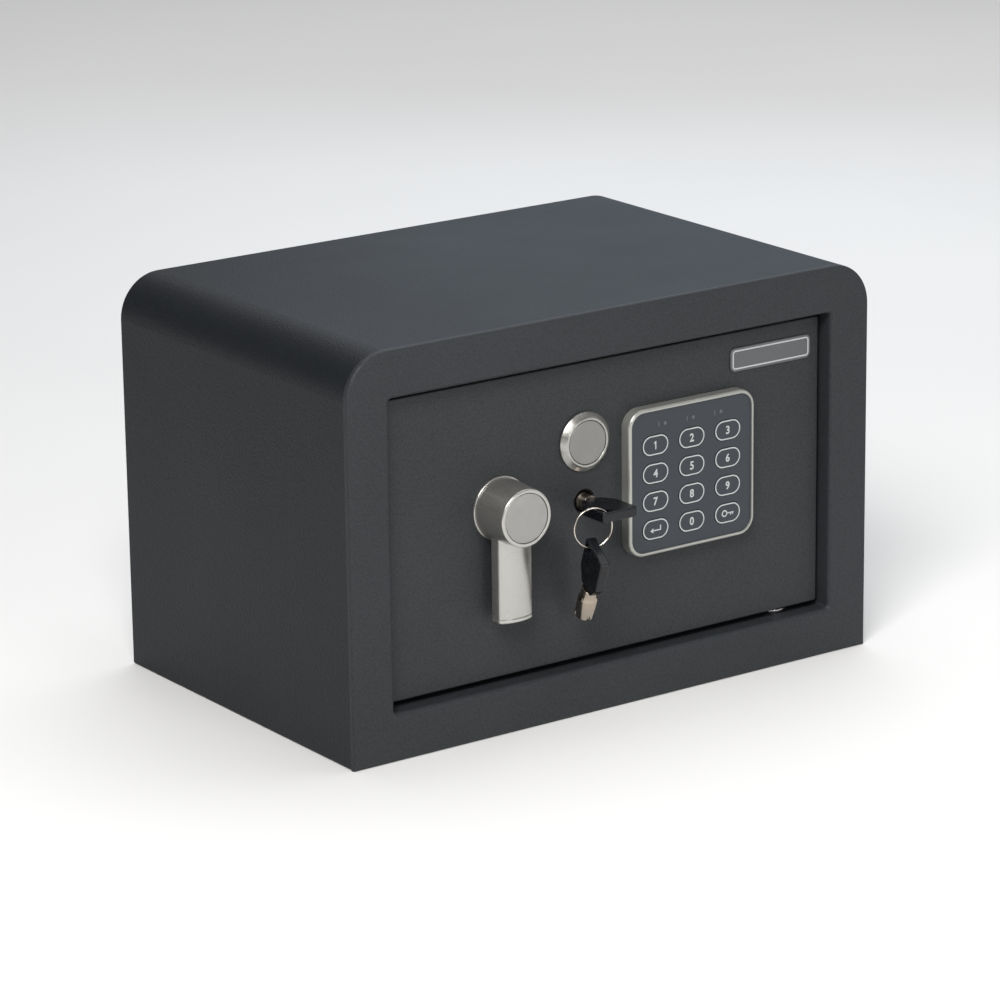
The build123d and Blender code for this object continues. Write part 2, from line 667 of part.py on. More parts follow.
with BuildPart() as bolt_plate:
    with BuildSketch(facing(PLATE_Y + PLATE_T)):
        with Locations(((FLANGE_X + PLATE_RIGHT) / 2, (PLATE_LOW + PLATE_HIGH) / 2)):
            Rectangle(PLATE_RIGHT - FLANGE_X, PLATE_HIGH - PLATE_LOW)
        with Locations((PLATE_RIGHT, LOCK_Z)):
            Rectangle(LOCK_NOTCH_W, LOCK_NOTCH_H, mode=Mode.SUBTRACT)
        with Locations((PLATE_RIGHT, PLATE_LOW)):
            Rectangle(STEP_W, 2 * (STEP_Z - PLATE_LOW), mode=Mode.SUBTRACT)
        with Locations((SOL_X, STEP_Z)):
            Rectangle(PLUNGER_NOTCH_W, PLUNGER_NOTCH_H, mode=Mode.SUBTRACT)
        with Locations((PIN_X, HANDLE_Z - (CRANK_R + THROW / 2) / 2)):
            SlotOverall(CRANK_SLOT_L, SLOT_W, rotation=90, mode=Mode.SUBTRACT)
        with Locations(*[(x + THROW / 2, z) for x, z in GUIDES]):
            SlotOverall(THROW + 2 * GUIDE_R + 2 * CLEAR, 2 * GUIDE_R + 2 * CLEAR, mode=Mode.SUBTRACT)
    extrude(amount=PLATE_T)
    with BuildSketch(Plane.YZ.offset(FLANGE_X)):
        with Locations(((PLATE_Y + BOLT_Y + BOLT_R) / 2, (PLATE_LOW + PLATE_HIGH) / 2)):
            Rectangle(BOLT_Y + BOLT_R - PLATE_Y, PLATE_HIGH - PLATE_LOW)
        with Locations(*[(BOLT_Y, z) for z in BOLT_ZS]):
            Circle(SPIGOT_R, mode=Mode.SUBTRACT)
    extrude(amount=PLATE_T)
save(bolt_plate, "bolt_plate")

with BuildPart() as live_bolts:
    for bolt_z in BOLT_ZS:
        with BuildSketch(Plane.YZ.offset(BOLT_TIP_X)):
            with Locations((BOLT_Y, bolt_z)):
                Circle(BOLT_R)
        extrude(amount=FLANGE_X - BOLT_TIP_X)
        with BuildSketch(Plane.YZ.offset(FLANGE_X)):
            with Locations((BOLT_Y, bolt_z)):
                Circle(SPIGOT_R)
        extrude(amount=PLATE_T)
        with BuildSketch(Plane.YZ.offset(FLANGE_X + PLATE_T)):
            with Locations((BOLT_Y, bolt_z)):
                Circle(RIVET_R)
        extrude(amount=RIVET_T)
    chamfer(live_bolts.faces().group_by(Axis.X)[0].edges(), BOLT_LEAD)
save(live_bolts, "live_bolts")

# solenoid: its plunger drops behind the thrown bolt plate
SOL_W, SOL_D = 20.0, 17.0
SOL_LOW, SOL_HIGH = 31.5, 58.0
SOL_FRAME = 1.5
PLUNGER_R = 3.0
PLUNGER_HEAD_R = 5.5
PLUNGER_AIR = 0.3
PLUNGER_SEAT = 6.0       # above the bottom of the coil
PLUNGER_HEAD_T = 1.4
COIL_R = 8.0
SPRING_L = 5.0
SPRING_WIRE_R = 0.35
SPRING_R = 4.3
SPRING_PITCH = 1.4
with BuildPart() as solenoid_frame:
    with BuildSketch(Plane.XY.offset(SOL_LOW)):
        with Locations((SOL_X, (DOOR_BACK_Y + SOL_Y + SOL_D / 2) / 2)):
            Rectangle(SOL_W, SOL_Y + SOL_D / 2 - DOOR_BACK_Y)
    extrude(amount=SOL_HIGH - SOL_LOW)
    with BuildSketch(facing(0)):
        with Locations((SOL_X, (SOL_LOW + SOL_HIGH) / 2)):
            Rectangle(SOL_W - 2 * SOL_FRAME, SOL_HIGH - SOL_LOW - 2 * SOL_FRAME)
    extrude(amount=CASE_D, mode=Mode.SUBTRACT)
    with BuildSketch(Plane.XY.offset(SOL_HIGH - SOL_FRAME - 1)):
        with Locations((SOL_X, SOL_Y)):
            Circle(PLUNGER_R + PLUNGER_AIR)
    extrude(amount=SOL_FRAME + 2, mode=Mode.SUBTRACT)
save(solenoid_frame, "solenoid_frame")

with BuildPart() as solenoid_coil:
    with BuildSketch(Plane.XY.offset(SOL_LOW + SOL_FRAME)):
        with Locations((SOL_X, SOL_Y)):
            Circle(COIL_R)
            Circle(PLUNGER_R + PLUNGER_AIR, mode=Mode.SUBTRACT)
    extrude(amount=SOL_HIGH - SOL_LOW - 2 * SOL_FRAME)
save(solenoid_coil, "solenoid_coil")

with BuildPart() as solenoid_plunger:
    with BuildSketch(Plane.XY.offset(SOL_LOW + SOL_FRAME + PLUNGER_SEAT)):
        with Locations((SOL_X, SOL_Y)):
            Circle(PLUNGER_R)
    extrude(amount=STEP_Z - 2 * PLUNGER_AIR - SOL_LOW - SOL_FRAME - PLUNGER_SEAT)
    with BuildSketch(Plane.XY.offset(SOL_HIGH + SPRING_L)):
        with Locations((SOL_X, SOL_Y)):
            Circle(PLUNGER_HEAD_R)
    extrude(amount=PLUNGER_HEAD_T)
save(solenoid_plunger, "solenoid_plunger")

with BuildPart() as plunger_spring:
    spring_foot = SOL_HIGH + SPRING_WIRE_R
    with BuildLine():
        Helix(SPRING_PITCH, SPRING_L - 2 * SPRING_WIRE_R, SPRING_R, center=(SOL_X, SOL_Y, spring_foot))
    with BuildSketch(Plane((SOL_X + SPRING_R, SOL_Y, spring_foot), x_dir=(1, 0, 0), z_dir=(0, 1, 0))):
        Circle(SPRING_WIRE_R)
    sweep(is_frenet=True)
save(plunger_spring, "plunger_spring")

# ==== override lock ========================================================================
LOCK_BORE_R = 5.4
LOCK_BODY_R = 9.0
LOCK_BACK_Y = -72.0
CORE_R = 3.5
CORE_BACK_Y = -80.5
CAM_R = 13.0
NOSE_SINK = 0.5          # the nose ends this far inside the door face
LOCK_NUT_R, LOCK_NUT_T = 13.0, 2.0
PLUG_TAIL_R, PLUG_TAIL_L = 4.0, 5.0
PLUG_SHELF = 0.5
CAM_HUB_R, CAM_TIP_R, CAM_T = 7.0, 3.0, 2.0
CAM_NUT_R, CAM_NUT_T = 6.0, 3.0
with BuildPart() as lock_housing:
    with BuildSketch(facing(DOOR_BACK_Y)):
        with Locations((LOCK_X, LOCK_Z)):
            Circle(NOSE_R)
    extrude(amount=DOOR_T - NOSE_SINK)
    with BuildSketch(facing(DOOR_BACK_Y + LOCK_NUT_T)):
        with Locations((LOCK_X, LOCK_Z)):
            Circle(LOCK_NUT_R)
    extrude(amount=LOCK_NUT_T)
    with BuildSketch(facing(LOCK_BACK_Y)):
        with Locations((LOCK_X, LOCK_Z)):
            Circle(LOCK_BODY_R)
    extrude(amount=LOCK_BACK_Y - DOOR_BACK_Y)
    with BuildSketch(facing(LOCK_BACK_Y)):
        with Locations((LOCK_X, LOCK_Z)):
            Circle(LOCK_BORE_R)
    extrude(amount=LOCK_BACK_Y - DOOR_Y, mode=Mode.SUBTRACT)
save(lock_housing, "lock_housing")

with BuildPart() as lock_plug:
    with BuildSketch(facing(CORE_BACK_Y)):
        with Locations((LOCK_X, LOCK_Z)):
            Circle(CORE_R)
    extrude(amount=CORE_BACK_Y - DOOR_Y - 2 * NOSE_SINK)
    with BuildSketch(facing(LOCK_BACK_Y + PLUG_SHELF)):
        with Locations((LOCK_X, LOCK_Z)):
            Circle(LOCK_BORE_R - RUNNING)
    extrude(amount=LOCK_BACK_Y + PLUG_SHELF - CORE_BACK_Y)
    with BuildSketch(facing(LOCK_BACK_Y + PLUG_SHELF + PLUG_TAIL_L)):
        with Locations((LOCK_X, LOCK_Z)):
            Circle(PLUG_TAIL_R)
    extrude(amount=PLUG_TAIL_L)
save(lock_plug, "lock_plug")

# cam on the back of the plug, with its nut
with BuildPart() as lock_cam:
    with BuildSketch(facing(LOCK_BACK_Y + PLUG_SHELF + CAM_T)):
        with Locations((LOCK_X, LOCK_Z)):
            Circle(CAM_HUB_R)
        with Locations((LOCK_X, LOCK_Z - CAM_R + CAM_TIP_R)):
            Circle(CAM_TIP_R)
        make_hull()
        with Locations((LOCK_X, LOCK_Z)):
            Circle(PLUG_TAIL_R, mode=Mode.SUBTRACT)
    extrude(amount=CAM_T)
    with BuildSketch(facing(LOCK_BACK_Y + PLUG_SHELF + CAM_T + CAM_NUT_T)):
        with Locations((LOCK_X, LOCK_Z)):
            RegularPolygon(CAM_NUT_R, 6, major_radius=False)
            Circle(PLUG_TAIL_R, mode=Mode.SUBTRACT)
    extrude(amount=CAM_NUT_T)
save(lock_cam, "lock_cam")

# swing cover of the lock, turned away above it
COVER_BACK_Y = DOOR_Y - 0.3
COVER_T = 3.1
COVER_RIM = 0.8          # upright edge below the bevel
COVER_RIDGE_R = 12.0
COVER_DISC_R = 10.7
COVER_SEAM = 0.3
COVER_DISC_SINK = 1.0
COVER_DISC_T = 0.8
COVER_PLANE = Plane((LOCK_X, COVER_BACK_Y, COVER_Z), x_dir=(1, 0, 0), z_dir=(0, 0, 1))
with BuildPart() as lock_cover:
    with BuildSketch(COVER_PLANE):
        with BuildLine():
            Polyline(
                (0, 0),
                (COVER_R, 0),
                (COVER_R, -COVER_RIM),
                (COVER_RIDGE_R, -COVER_T),
                (COVER_DISC_R + COVER_SEAM, -COVER_T),
                (COVER_DISC_R + COVER_SEAM, -COVER_T + COVER_DISC_SINK),
                (0, -COVER_T + COVER_DISC_SINK),
                close=True,
            )
        make_face()
    revolve(axis=Axis((LOCK_X, 0, COVER_Z), (0, 1, 0)))
    with BuildSketch(facing(COVER_BACK_Y)):
        with Locations((LOCK_X, COVER_Z - COVER_PIVOT_DROP)):
            Circle(COVER_PIN_R + RUNNING)
    extrude(amount=COVER_T / 2, mode=Mode.SUBTRACT)
save(lock_cover, "lock_cover")

with BuildPart() as lock_cover_disc:
    with BuildSketch(facing(COVER_BACK_Y - COVER_T + COVER_DISC_SINK)):
        with Locations((LOCK_X, COVER_Z)):
            Circle(COVER_DISC_R)
    extrude(amount=COVER_DISC_T)
    fillet(lock_cover_disc.faces().sort_by(Axis.Y)[0].edges(), COVER_SEAM)
save(lock_cover_disc, "lock_cover_disc")

# studs fixed behind the door plate: shouldered guides of the bolt plate, tapped posts of the
# inner cover, and the riveted pin that the lock cover turns on
STUD_HEAD_T = 2.0
COVER_PIN_PROUD = 1.5    # in front of the door
COVER_RIVET_T = 1.0
with BuildPart() as door_studs:
    with BuildSketch(facing(PLATE_Y - CLEAR)):
        with Locations(*GUIDES):
            Circle(GUIDE_HEAD_R)
    extrude(amount=PLATE_Y - CLEAR - DOOR_BACK_Y)
    with BuildSketch(facing(PLATE_Y + PLATE_T + CLEAR)):
        with Locations(*GUIDES):
            Circle(GUIDE_R)
    extrude(amount=PLATE_T + 2 * CLEAR)
    with BuildSketch(facing(PLATE_Y + PLATE_T + CLEAR + STUD_HEAD_T)):
        with Locations(*GUIDES):
            Circle(GUIDE_HEAD_R)
    extrude(amount=STUD_HEAD_T)
    with BuildSketch(facing(PAN_BACK_Y - PAN_T)):
        with Locations(*POSTS):
            Circle(POST_R)
            Circle(SCREW_R, mode=Mode.SUBTRACT)
    extrude(amount=PAN_BACK_Y - PAN_T - DOOR_BACK_Y)
    with BuildSketch(facing(DOOR_BACK_Y)):
        with Locations((LOCK_X, COVER_Z - COVER_PIVOT_DROP)):
            Circle(COVER_PIN_R)
    extrude(amount=DOOR_T + COVER_PIN_PROUD)
    with BuildSketch(facing(DOOR_BACK_Y + COVER_RIVET_T)):
        with Locations((LOCK_X, COVER_Z - COVER_PIVOT_DROP)):
            Circle(2 * COVER_PIN_R)
    extrude(amount=COVER_RIVET_T)
save(door_studs, "door_studs")

# ==== keys =================================================================================
BOW_START = 5.3          # the bow begins this far in front of the door
BOW_L = 24.0
BOW_HALF = 10.2
BOW_NECK = 5.2
BOW_TAPER = 7.2
BOW_T = 5.1
BOW_CORNER_R = 1.2
BOW_EDGE_R = 0.9
TANG_R, TANG_L = 2.0, 12.0   # the part of the shank moulded into the bow
SHANK_L = 16.5           # metal in front of the bow
BARREL_L = 10.5
BARREL_R = 4.9
BARREL_BORE_R = 3.8
BARREL_FLOOR = 0.4
SHOULDER_L = 2.0
NOTCH_R, NOTCH_L = 0.8, 2.2
NECK_R = 3.9
EYE = (-5.65, 21.05)     # slot for the ring, from the bow's start on the key's axis
EYE_L, EYE_W = 5.5, 3.4

ring_heading = math.radians(RING_TURN)
RING_DIR = Vector(math.cos(ring_heading), math.sin(ring_heading), 0)
RING_NORMAL = Vector(-math.sin(ring_heading), math.cos(ring_heading), 0)
EYE_POINT = Vector(LOCK_X + EYE[0], DOOR_Y - BOW_START - EYE[1], LOCK_Z)
RING_OFFSET = 7.58       # eye to ring centre, along the ring's plane
RING_DROP = 5.0
RING_CENTRE = EYE_POINT - RING_DIR * RING_OFFSET - Vector(0, 0, RING_DROP)

in_lock = Plane((LOCK_X, DOOR_Y - BOW_START, LOCK_Z), x_dir=(1, 0, 0), z_dir=(0, 0, -1))

tilt = math.radians(SPARE_TILT)
across = RING_NORMAL * -math.cos(tilt) - Vector(0, 0, math.sin(tilt))
along = RING_NORMAL * -math.sin(tilt) + Vector(0, 0, math.cos(tilt))
spare_eye = RING_CENTRE - Vector(0, 0, RING_R + 0.2)
spare_origin = spare_eye - across * EYE[0] - along * EYE[1]
hanging = Plane(spare_origin, x_dir=across, z_dir=RING_DIR * -1)


def make_key(plane, prefix):
    """Tubular key: plastic bow in the plane's XY, metal shank along its -Y."""
    with BuildPart() as bow:
        with BuildSketch(plane.offset(-BOW_T / 2)) as outline:
            with BuildLine():
                Polyline(
                    (-BOW_NECK, 0),
                    (-BOW_HALF, BOW_TAPER),
                    (-BOW_HALF, BOW_L),
                    (BOW_HALF, BOW_L),
                    (BOW_HALF, BOW_TAPER),
                    (BOW_NECK, 0),
                    close=True,
                )
            make_face()
            fillet(outline.vertices(), BOW_CORNER_R)
        extrude(amount=BOW_T)
        fillet(bow.faces().sort_by(SortBy.AREA)[-2:].edges(), BOW_EDGE_R)
        with BuildSketch(plane.offset(-BOW_T)):
            with Locations(EYE):
                SlotOverall(EYE_L, EYE_W)
        extrude(amount=2 * BOW_T, mode=Mode.SUBTRACT)
        with BuildSketch(Plane(plane.origin, x_dir=plane.x_dir, z_dir=plane.y_dir)):
            Circle(TANG_R)
        extrude(amount=TANG_L, mode=Mode.SUBTRACT)
    save(bow, f"{prefix}_bow")

    with BuildPart() as shank:
        with BuildSketch(plane):
            with BuildLine():
                Polyline(
                    (0, TANG_L),
                    (TANG_R, TANG_L),
                    (TANG_R, 0),
                    (NECK_R, 0),
                    (NECK_R, -SHANK_L + BARREL_L + SHOULDER_L),
                    (BARREL_R, -SHANK_L + BARREL_L),
                    (BARREL_R, -SHANK_L),
                    (BARREL_BORE_R, -SHANK_L),
                    (BARREL_BORE_R, -SHANK_L + BARREL_L + BARREL_FLOOR),
                    (0, -SHANK_L + BARREL_L + BARREL_FLOOR),
                    close=True,
                )
            make_face()
        revolve(axis=Axis(plane.origin, plane.y_dir))
        tip = plane.from_local_coords((0, -SHANK_L, 0))
        with BuildSketch(Plane(tip, x_dir=plane.x_dir, z_dir=plane.y_dir)):
            with PolarLocations(BARREL_R, 4, start_angle=90):
                Circle(NOTCH_R)
        extrude(amount=NOTCH_L, mode=Mode.SUBTRACT)
    save(shank, f"{prefix}_shank")


make_key(in_lock, "lock_key")
make_key(hanging, "spare_key")

with BuildPart() as key_ring:
    with BuildSketch(Plane(RING_CENTRE, x_dir=RING_DIR, z_dir=(0, 0, 1))):
        with Locations((RING_R, 0)):
            Circle(RING_WIRE_R)
    revolve(axis=Axis(RING_CENTRE, RING_NORMAL))
save(key_ring, "key_ring")

# ==== electronics behind the inner cover ===================================================
BOX_WALL = 1.5
BOX_FRONT_Y = -72.0
BOX_W = 66.0
BOX_H = 60.0
BOX_X = (LID_LEFT + LID_RIGHT) / 2
BOX_Z = (LID_LOW + LID_HIGH) / 2
CELL_R = 7.1
CELL_L = 48.5
CELL_PITCH = 14.25
CELL_NUB_R, CELL_NUB_L = 2.7, 1.5
with BuildPart() as battery_box:
    with BuildSketch(facing(PAN_BACK_Y - PAN_T)):
        with Locations((BOX_X, BOX_Z)):
            Rectangle(BOX_W, BOX_H)
    extrude(amount=PAN_BACK_Y - PAN_T - BOX_FRONT_Y)
    with BuildSketch(facing(PAN_BACK_Y)):
        with Locations((BOX_X, BOX_Z)):
            Rectangle(BOX_W - 2 * BOX_WALL, BOX_H - 2 * BOX_WALL)
    extrude(amount=PAN_BACK_Y - BOX_FRONT_Y - BOX_WALL, mode=Mode.SUBTRACT)
save(battery_box, "battery_box")

with BuildPart() as battery_cells:
    for index in range(4):
        way = 1 if index % 2 else -1
        cell_z = BOX_Z + (index - 1.5) * CELL_PITCH
        cell_y = BOX_FRONT_Y + BOX_WALL + CELL_R
        with BuildSketch(Plane.YZ.offset(BOX_X - way * CELL_L / 2)):
            with Locations((cell_y, cell_z)):
                Circle(CELL_R)
        extrude(amount=way * CELL_L)
        with BuildSketch(Plane.YZ.offset(BOX_X + way * CELL_L / 2)):
            with Locations((cell_y, cell_z)):
                Circle(CELL_NUB_R)
        extrude(amount=way * CELL_NUB_L)
save(battery_cells, "battery_cells")

GRIP_L, GRIP_W, GRIP_T, GRIP_PITCH = 24.0, 1.4, 0.8, 3.0
GRIP_RISE = 12.0         # middle of the finger ridges above the foot of the lid
with BuildPart() as battery_lid:
    with BuildSketch(facing(LID_FRONT_Y + LID_T)):
        with Locations((BOX_X, BOX_Z)):
            Rectangle(LID_RIGHT - LID_LEFT, LID_HIGH - LID_LOW)
    extrude(amount=LID_T)
    with BuildSketch(facing(LID_FRONT_Y + LID_T + GRIP_T)):
        with Locations((BOX_X, LID_LOW + GRIP_RISE)):
            with GridLocations(0, GRIP_PITCH, 1, 5):
                SlotOverall(GRIP_L, GRIP_W)
    extrude(amount=GRIP_T)
save(battery_lid, "battery_lid")

CIRCUIT_Y = -58.4
CIRCUIT_T = 1.6
CIRCUIT_X, CIRCUIT_Z = 34.0, 143.0
CIRCUIT_W, CIRCUIT_H = 84.0, 32.0
CHIPS = [(-14.0, 0.0), (10.0, 5.0)]
CHIP_W, CHIP_H = 12.0, 9.0
BUZZER = (26.0, -5.0)
BUZZER_R = 5.0
PART_T = 4.0
SWITCH_W, SWITCH_T = 7.0, 2.2
PILLAR_PITCH_X, PILLAR_PITCH_Z = 56.0, 24.0
PILLAR_SHIFT = 6.0
PILLAR_R = 2.5
with BuildPart() as control_board:
    with BuildSketch(facing(CIRCUIT_Y)):
        with Locations((CIRCUIT_X, CIRCUIT_Z)):
            Rectangle(CIRCUIT_W, CIRCUIT_H)
    extrude(amount=CIRCUIT_T)
    with BuildSketch(facing(CIRCUIT_Y - CIRCUIT_T)):
        with Locations((CIRCUIT_X, CIRCUIT_Z)):
            with Locations(*CHIPS):
                Rectangle(CHIP_W, CHIP_H)
            with Locations(BUZZER):
                Circle(BUZZER_R)
    extrude(amount=PART_T)
    with BuildSketch(facing(CIRCUIT_Y + SWITCH_T)):
        with Locations((RESET_X, RESET_Z)):
            Rectangle(SWITCH_W, SWITCH_W)
    extrude(amount=SWITCH_T)
    with BuildSketch(facing(PAN_BACK_Y - PAN_T)):
        with Locations((CIRCUIT_X + PILLAR_SHIFT, CIRCUIT_Z)):
            with GridLocations(PILLAR_PITCH_X, PILLAR_PITCH_Z, 2, 2):
                Circle(PILLAR_R)
    extrude(amount=PAN_BACK_Y - PAN_T - CIRCUIT_Y)
save(control_board, "control_board")

RESET_PROUD, RESET_L = 1.8, 3.4
RESET_FLANGE, RESET_FLANGE_T = 1.2, 1.0
with BuildPart() as reset_button:
    with BuildSketch(facing(PAN_BACK_Y + RESET_PROUD)):
        with Locations((RESET_X, RESET_Z)):
            Circle(RESET_R)
    extrude(amount=RESET_L)
    fillet(reset_button.faces().sort_by(Axis.Y)[-1].edges(), 0.5)
    with BuildSketch(facing(PAN_BACK_Y - PAN_T - CLEAR)):
        with Locations((RESET_X, RESET_Z)):
            Circle(RESET_R + RESET_FLANGE)
    extrude(amount=RESET_FLANGE_T)
save(reset_button, "reset_button")

CABLE_W = 8.0
CABLE_T = 1.2
CABLE_BEND_YS = (-74.0, -66.0)
CABLE_END_Z = 132.0
CABLE_BEND_R = 2.5
with BuildPart() as keypad_cable:
    with BuildLine():
        FilletPolyline(
            (PAD_X, DOOR_Y, PAD_Z),
            (PAD_X, CABLE_BEND_YS[0], PAD_Z),
            (PAD_X, CABLE_BEND_YS[1], CABLE_END_Z),
            (PAD_X, CIRCUIT_Y - CIRCUIT_T, CABLE_END_Z),
            radius=CABLE_BEND_R,
        )
    with BuildSketch(facing(DOOR_Y)):
        with Locations((PAD_X, PAD_Z)):
            Rectangle(CABLE_W, CABLE_T)
    sweep()
save(keypad_cable, "keypad_cable")
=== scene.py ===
"""Looks of the small home safe: materials, printed keypad marks, felt mat, key ring and studio.

Everything is in metres in the CAD model's frame: +X right and -Y towards the viewer, +Z up.
"""

import json
import math

import bmesh
import bpy
from mathutils import Matrix, Vector


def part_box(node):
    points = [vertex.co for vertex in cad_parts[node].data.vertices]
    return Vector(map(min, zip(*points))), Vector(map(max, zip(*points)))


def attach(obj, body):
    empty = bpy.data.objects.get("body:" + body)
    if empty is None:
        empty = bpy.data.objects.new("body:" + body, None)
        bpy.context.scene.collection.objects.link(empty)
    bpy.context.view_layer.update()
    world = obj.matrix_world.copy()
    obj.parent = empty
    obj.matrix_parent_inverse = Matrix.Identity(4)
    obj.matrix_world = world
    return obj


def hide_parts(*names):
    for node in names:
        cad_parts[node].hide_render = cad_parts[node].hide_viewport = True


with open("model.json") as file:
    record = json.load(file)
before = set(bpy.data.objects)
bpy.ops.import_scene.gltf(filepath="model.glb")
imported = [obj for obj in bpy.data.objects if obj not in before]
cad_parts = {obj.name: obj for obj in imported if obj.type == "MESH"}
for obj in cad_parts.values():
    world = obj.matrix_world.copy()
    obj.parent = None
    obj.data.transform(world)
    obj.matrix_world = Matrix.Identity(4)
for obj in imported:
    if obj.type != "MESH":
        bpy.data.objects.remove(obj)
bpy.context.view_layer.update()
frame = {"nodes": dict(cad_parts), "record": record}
nodes = frame["nodes"]

MM = 0.001

# keypad print
INK_T = 0.04 * MM
DIGIT_H = 4.2 * MM
DIGIT_NARROW = 0.94      # width against the font's own
DIGIT_BOLD = 0.026       # outline grown by this share of the font's size
PILL_W, PILL_H = 15.4 * MM, 9.7 * MM
PILL_LINE = 0.62 * MM
TICK_W, TICK_H = 0.32 * MM, 2.4 * MM
TICK_GAP = 3.8 * MM      # lens centre to tick
LENS_XS = (29.8 * MM, 47.0 * MM, 64.0 * MM)    # as in the CAD

# nameplate line
BORDER_INSET = 1.2 * MM
BORDER_W = 0.7 * MM
BORDER_R = 1.8 * MM

# floor mat
ANCHOR_X, ANCHOR_Y = 90 * MM, 20 * MM
MAT_HOLE_R = 11 * MM
MAT_PITCH = 2.5 * MM
MAT_WAVE = 0.12 * MM
MAT_SINK = 0.35 * MM     # the upper face under the CAD mat's top, so that waves stay inside
MAT_SKIN = 0.6 * MM      # taken off the CAD mat's thickness
MAT_EDGE_R = 0.7 * MM

# key ring
CAD_WIRE_R = 0.6 * MM
WIRE_R = 0.31 * MM
TURN_OFFSET = 0.95       # each turn's distance from the ring's middle plane, in wire radii
RING_TURNS = 2
RING_STEPS = 160
RING_START = math.radians(150)
CROSS_OVER = 14          # how sharply the wire steps from one turn to the next

# studio
FLOOR_R = 9.0
AIM = Vector((0, 0, 0.1))
WORLD_TINT = (0.93, 0.96, 1.0, 1.0)
WORLD_STRENGTH = 0.11
SENSOR_W = 36.0
LENS = 157.68
CAMERA_SPOT = Vector((-1.21095, -1.70991, 0.70671))
CAMERA_AZIMUTH, CAMERA_ELEVATION, CAMERA_ROLL = -35.327, 16.629, -0.717
WARM, WHITE, COOL = (1.0, 0.985, 0.96), (1.0, 1.0, 1.0), (0.66, 0.82, 1.0)
LIGHTS = (
    # name, azimuth, elevation, distance, size, power, colour
    ("key_panel", -45, 42, 2.0, (0.8, 0.8), 36, WARM),
    ("strip_panel", 2, 10, 1.9, (0.34, 0.62), 7, WARM),
    ("right_panel", 52, 16, 2.0, (1.3, 0.9), 4, WHITE),
    ("top_panel", 125, 68, 2.6, (3.2, 3.2), 58, WHITE),
    ("cool_panel", 136, 22, 1.3, (0.7, 0.5), 1.0, COOL),
)


# ---- materials ----------------------------------------------------------------------------
class Surface:
    """A Principled material with short calls for the texture nodes that it is made of."""

    def __init__(self, name, **constants):
        self.material = bpy.data.materials.new(name)
        self.material.use_nodes = True
        self.tree = self.material.node_tree
        self.shader = self.tree.nodes["Principled BSDF"]
        self.place = self.add("ShaderNodeTexCoord").outputs["Object"]
        for key, value in constants.items():
            self.shader.inputs[key.replace("_", " ")].default_value = value

    def add(self, kind, inputs=(), **settings):
        node = self.tree.nodes.new(kind)
        for key, value in settings.items():
            setattr(node, key, value)
        for key, value in dict(inputs).items():
            self.feed(node.inputs[key], value)
        return node

    def feed(self, socket, value):
        if isinstance(value, bpy.types.NodeSocket):
            self.tree.links.new(value, socket)
        else:
            socket.default_value = value

    def stretched(self, x, y, z):
        """The object's coordinates, scaled along each axis."""
        inputs = {"Vector": self.place, "Scale": (x, y, z)}
        return self.add("ShaderNodeMapping", inputs).outputs["Vector"]

    def noise(self, scale, detail=2.0, rough=0.5, place=None):
        inputs = {"Vector": place or self.place, "Scale": scale, "Detail": detail, "Roughness": rough}
        return self.add("ShaderNodeTexNoise", inputs).outputs["Fac"]

    def cells(self, scale, feature="F1", place=None, output="Distance"):
        inputs = {"Vector": place or self.place, "Scale": scale}
        return self.add("ShaderNodeTexVoronoi", inputs, feature=feature).outputs[output]

    def vector(self, x, y, z=0.0):
        return self.add("ShaderNodeCombineXYZ", {"X": x, "Y": y, "Z": z}).outputs[0]

    def axis(self, name):
        return self.add("ShaderNodeSeparateXYZ", {"Vector": self.place}).outputs[name]

    def math(self, operation, a, b=0.0):
        return self.add("ShaderNodeMath", {0: a, 1: b}, operation=operation).outputs[0]

    def remap(self, value, low, high, to_low, to_high):
        keys = ("Value", "From Min", "From Max", "To Min", "To Max")
        inputs = dict(zip(keys, (value, low, high, to_low, to_high)))
        return self.add("ShaderNodeMapRange", inputs).outputs["Result"]

    def blend(self, share, a, b):
        """Colour a where share is 0 and b where it is 1."""
        node = self.add("ShaderNodeMix", data_type="RGBA")
        colours = [s for s in node.inputs if s.type == "RGBA"]
        self.feed(node.inputs[0], share)
        for socket, colour in zip(colours, (a, b)):
            self.feed(socket, colour if isinstance(colour, bpy.types.NodeSocket) else (*colour, 1.0))
        return [s for s in node.outputs if s.type == "RGBA"][0]

    def colour(self, value):
        self.feed(self.shader.inputs["Base Color"], value)
        return self

    def tinted(self, share, tint, dark, light):
        """Base colour between a darker and a lighter shade of one tint."""
        return self.colour(self.blend(share, shade(tint, dark), shade(tint, light)))

    def roughness(self, value, low, high, to_low, to_high):
        self.feed(self.shader.inputs["Roughness"], self.remap(value, low, high, to_low, to_high))
        return self

    def bump(self, *layers):
        """Layers are (height, strength, depth in metres), the coarsest first."""
        normal = None
        for height, strength, depth in layers:
            inputs = {"Height": height, "Strength": strength, "Distance": depth}
            if normal:
                inputs["Normal"] = normal
            normal = self.add("ShaderNodeBump", inputs).outputs["Normal"]
        self.feed(self.shader.inputs["Normal"], normal)
        return self


def shade(colour, factor):
    return tuple(c * factor for c in colour)


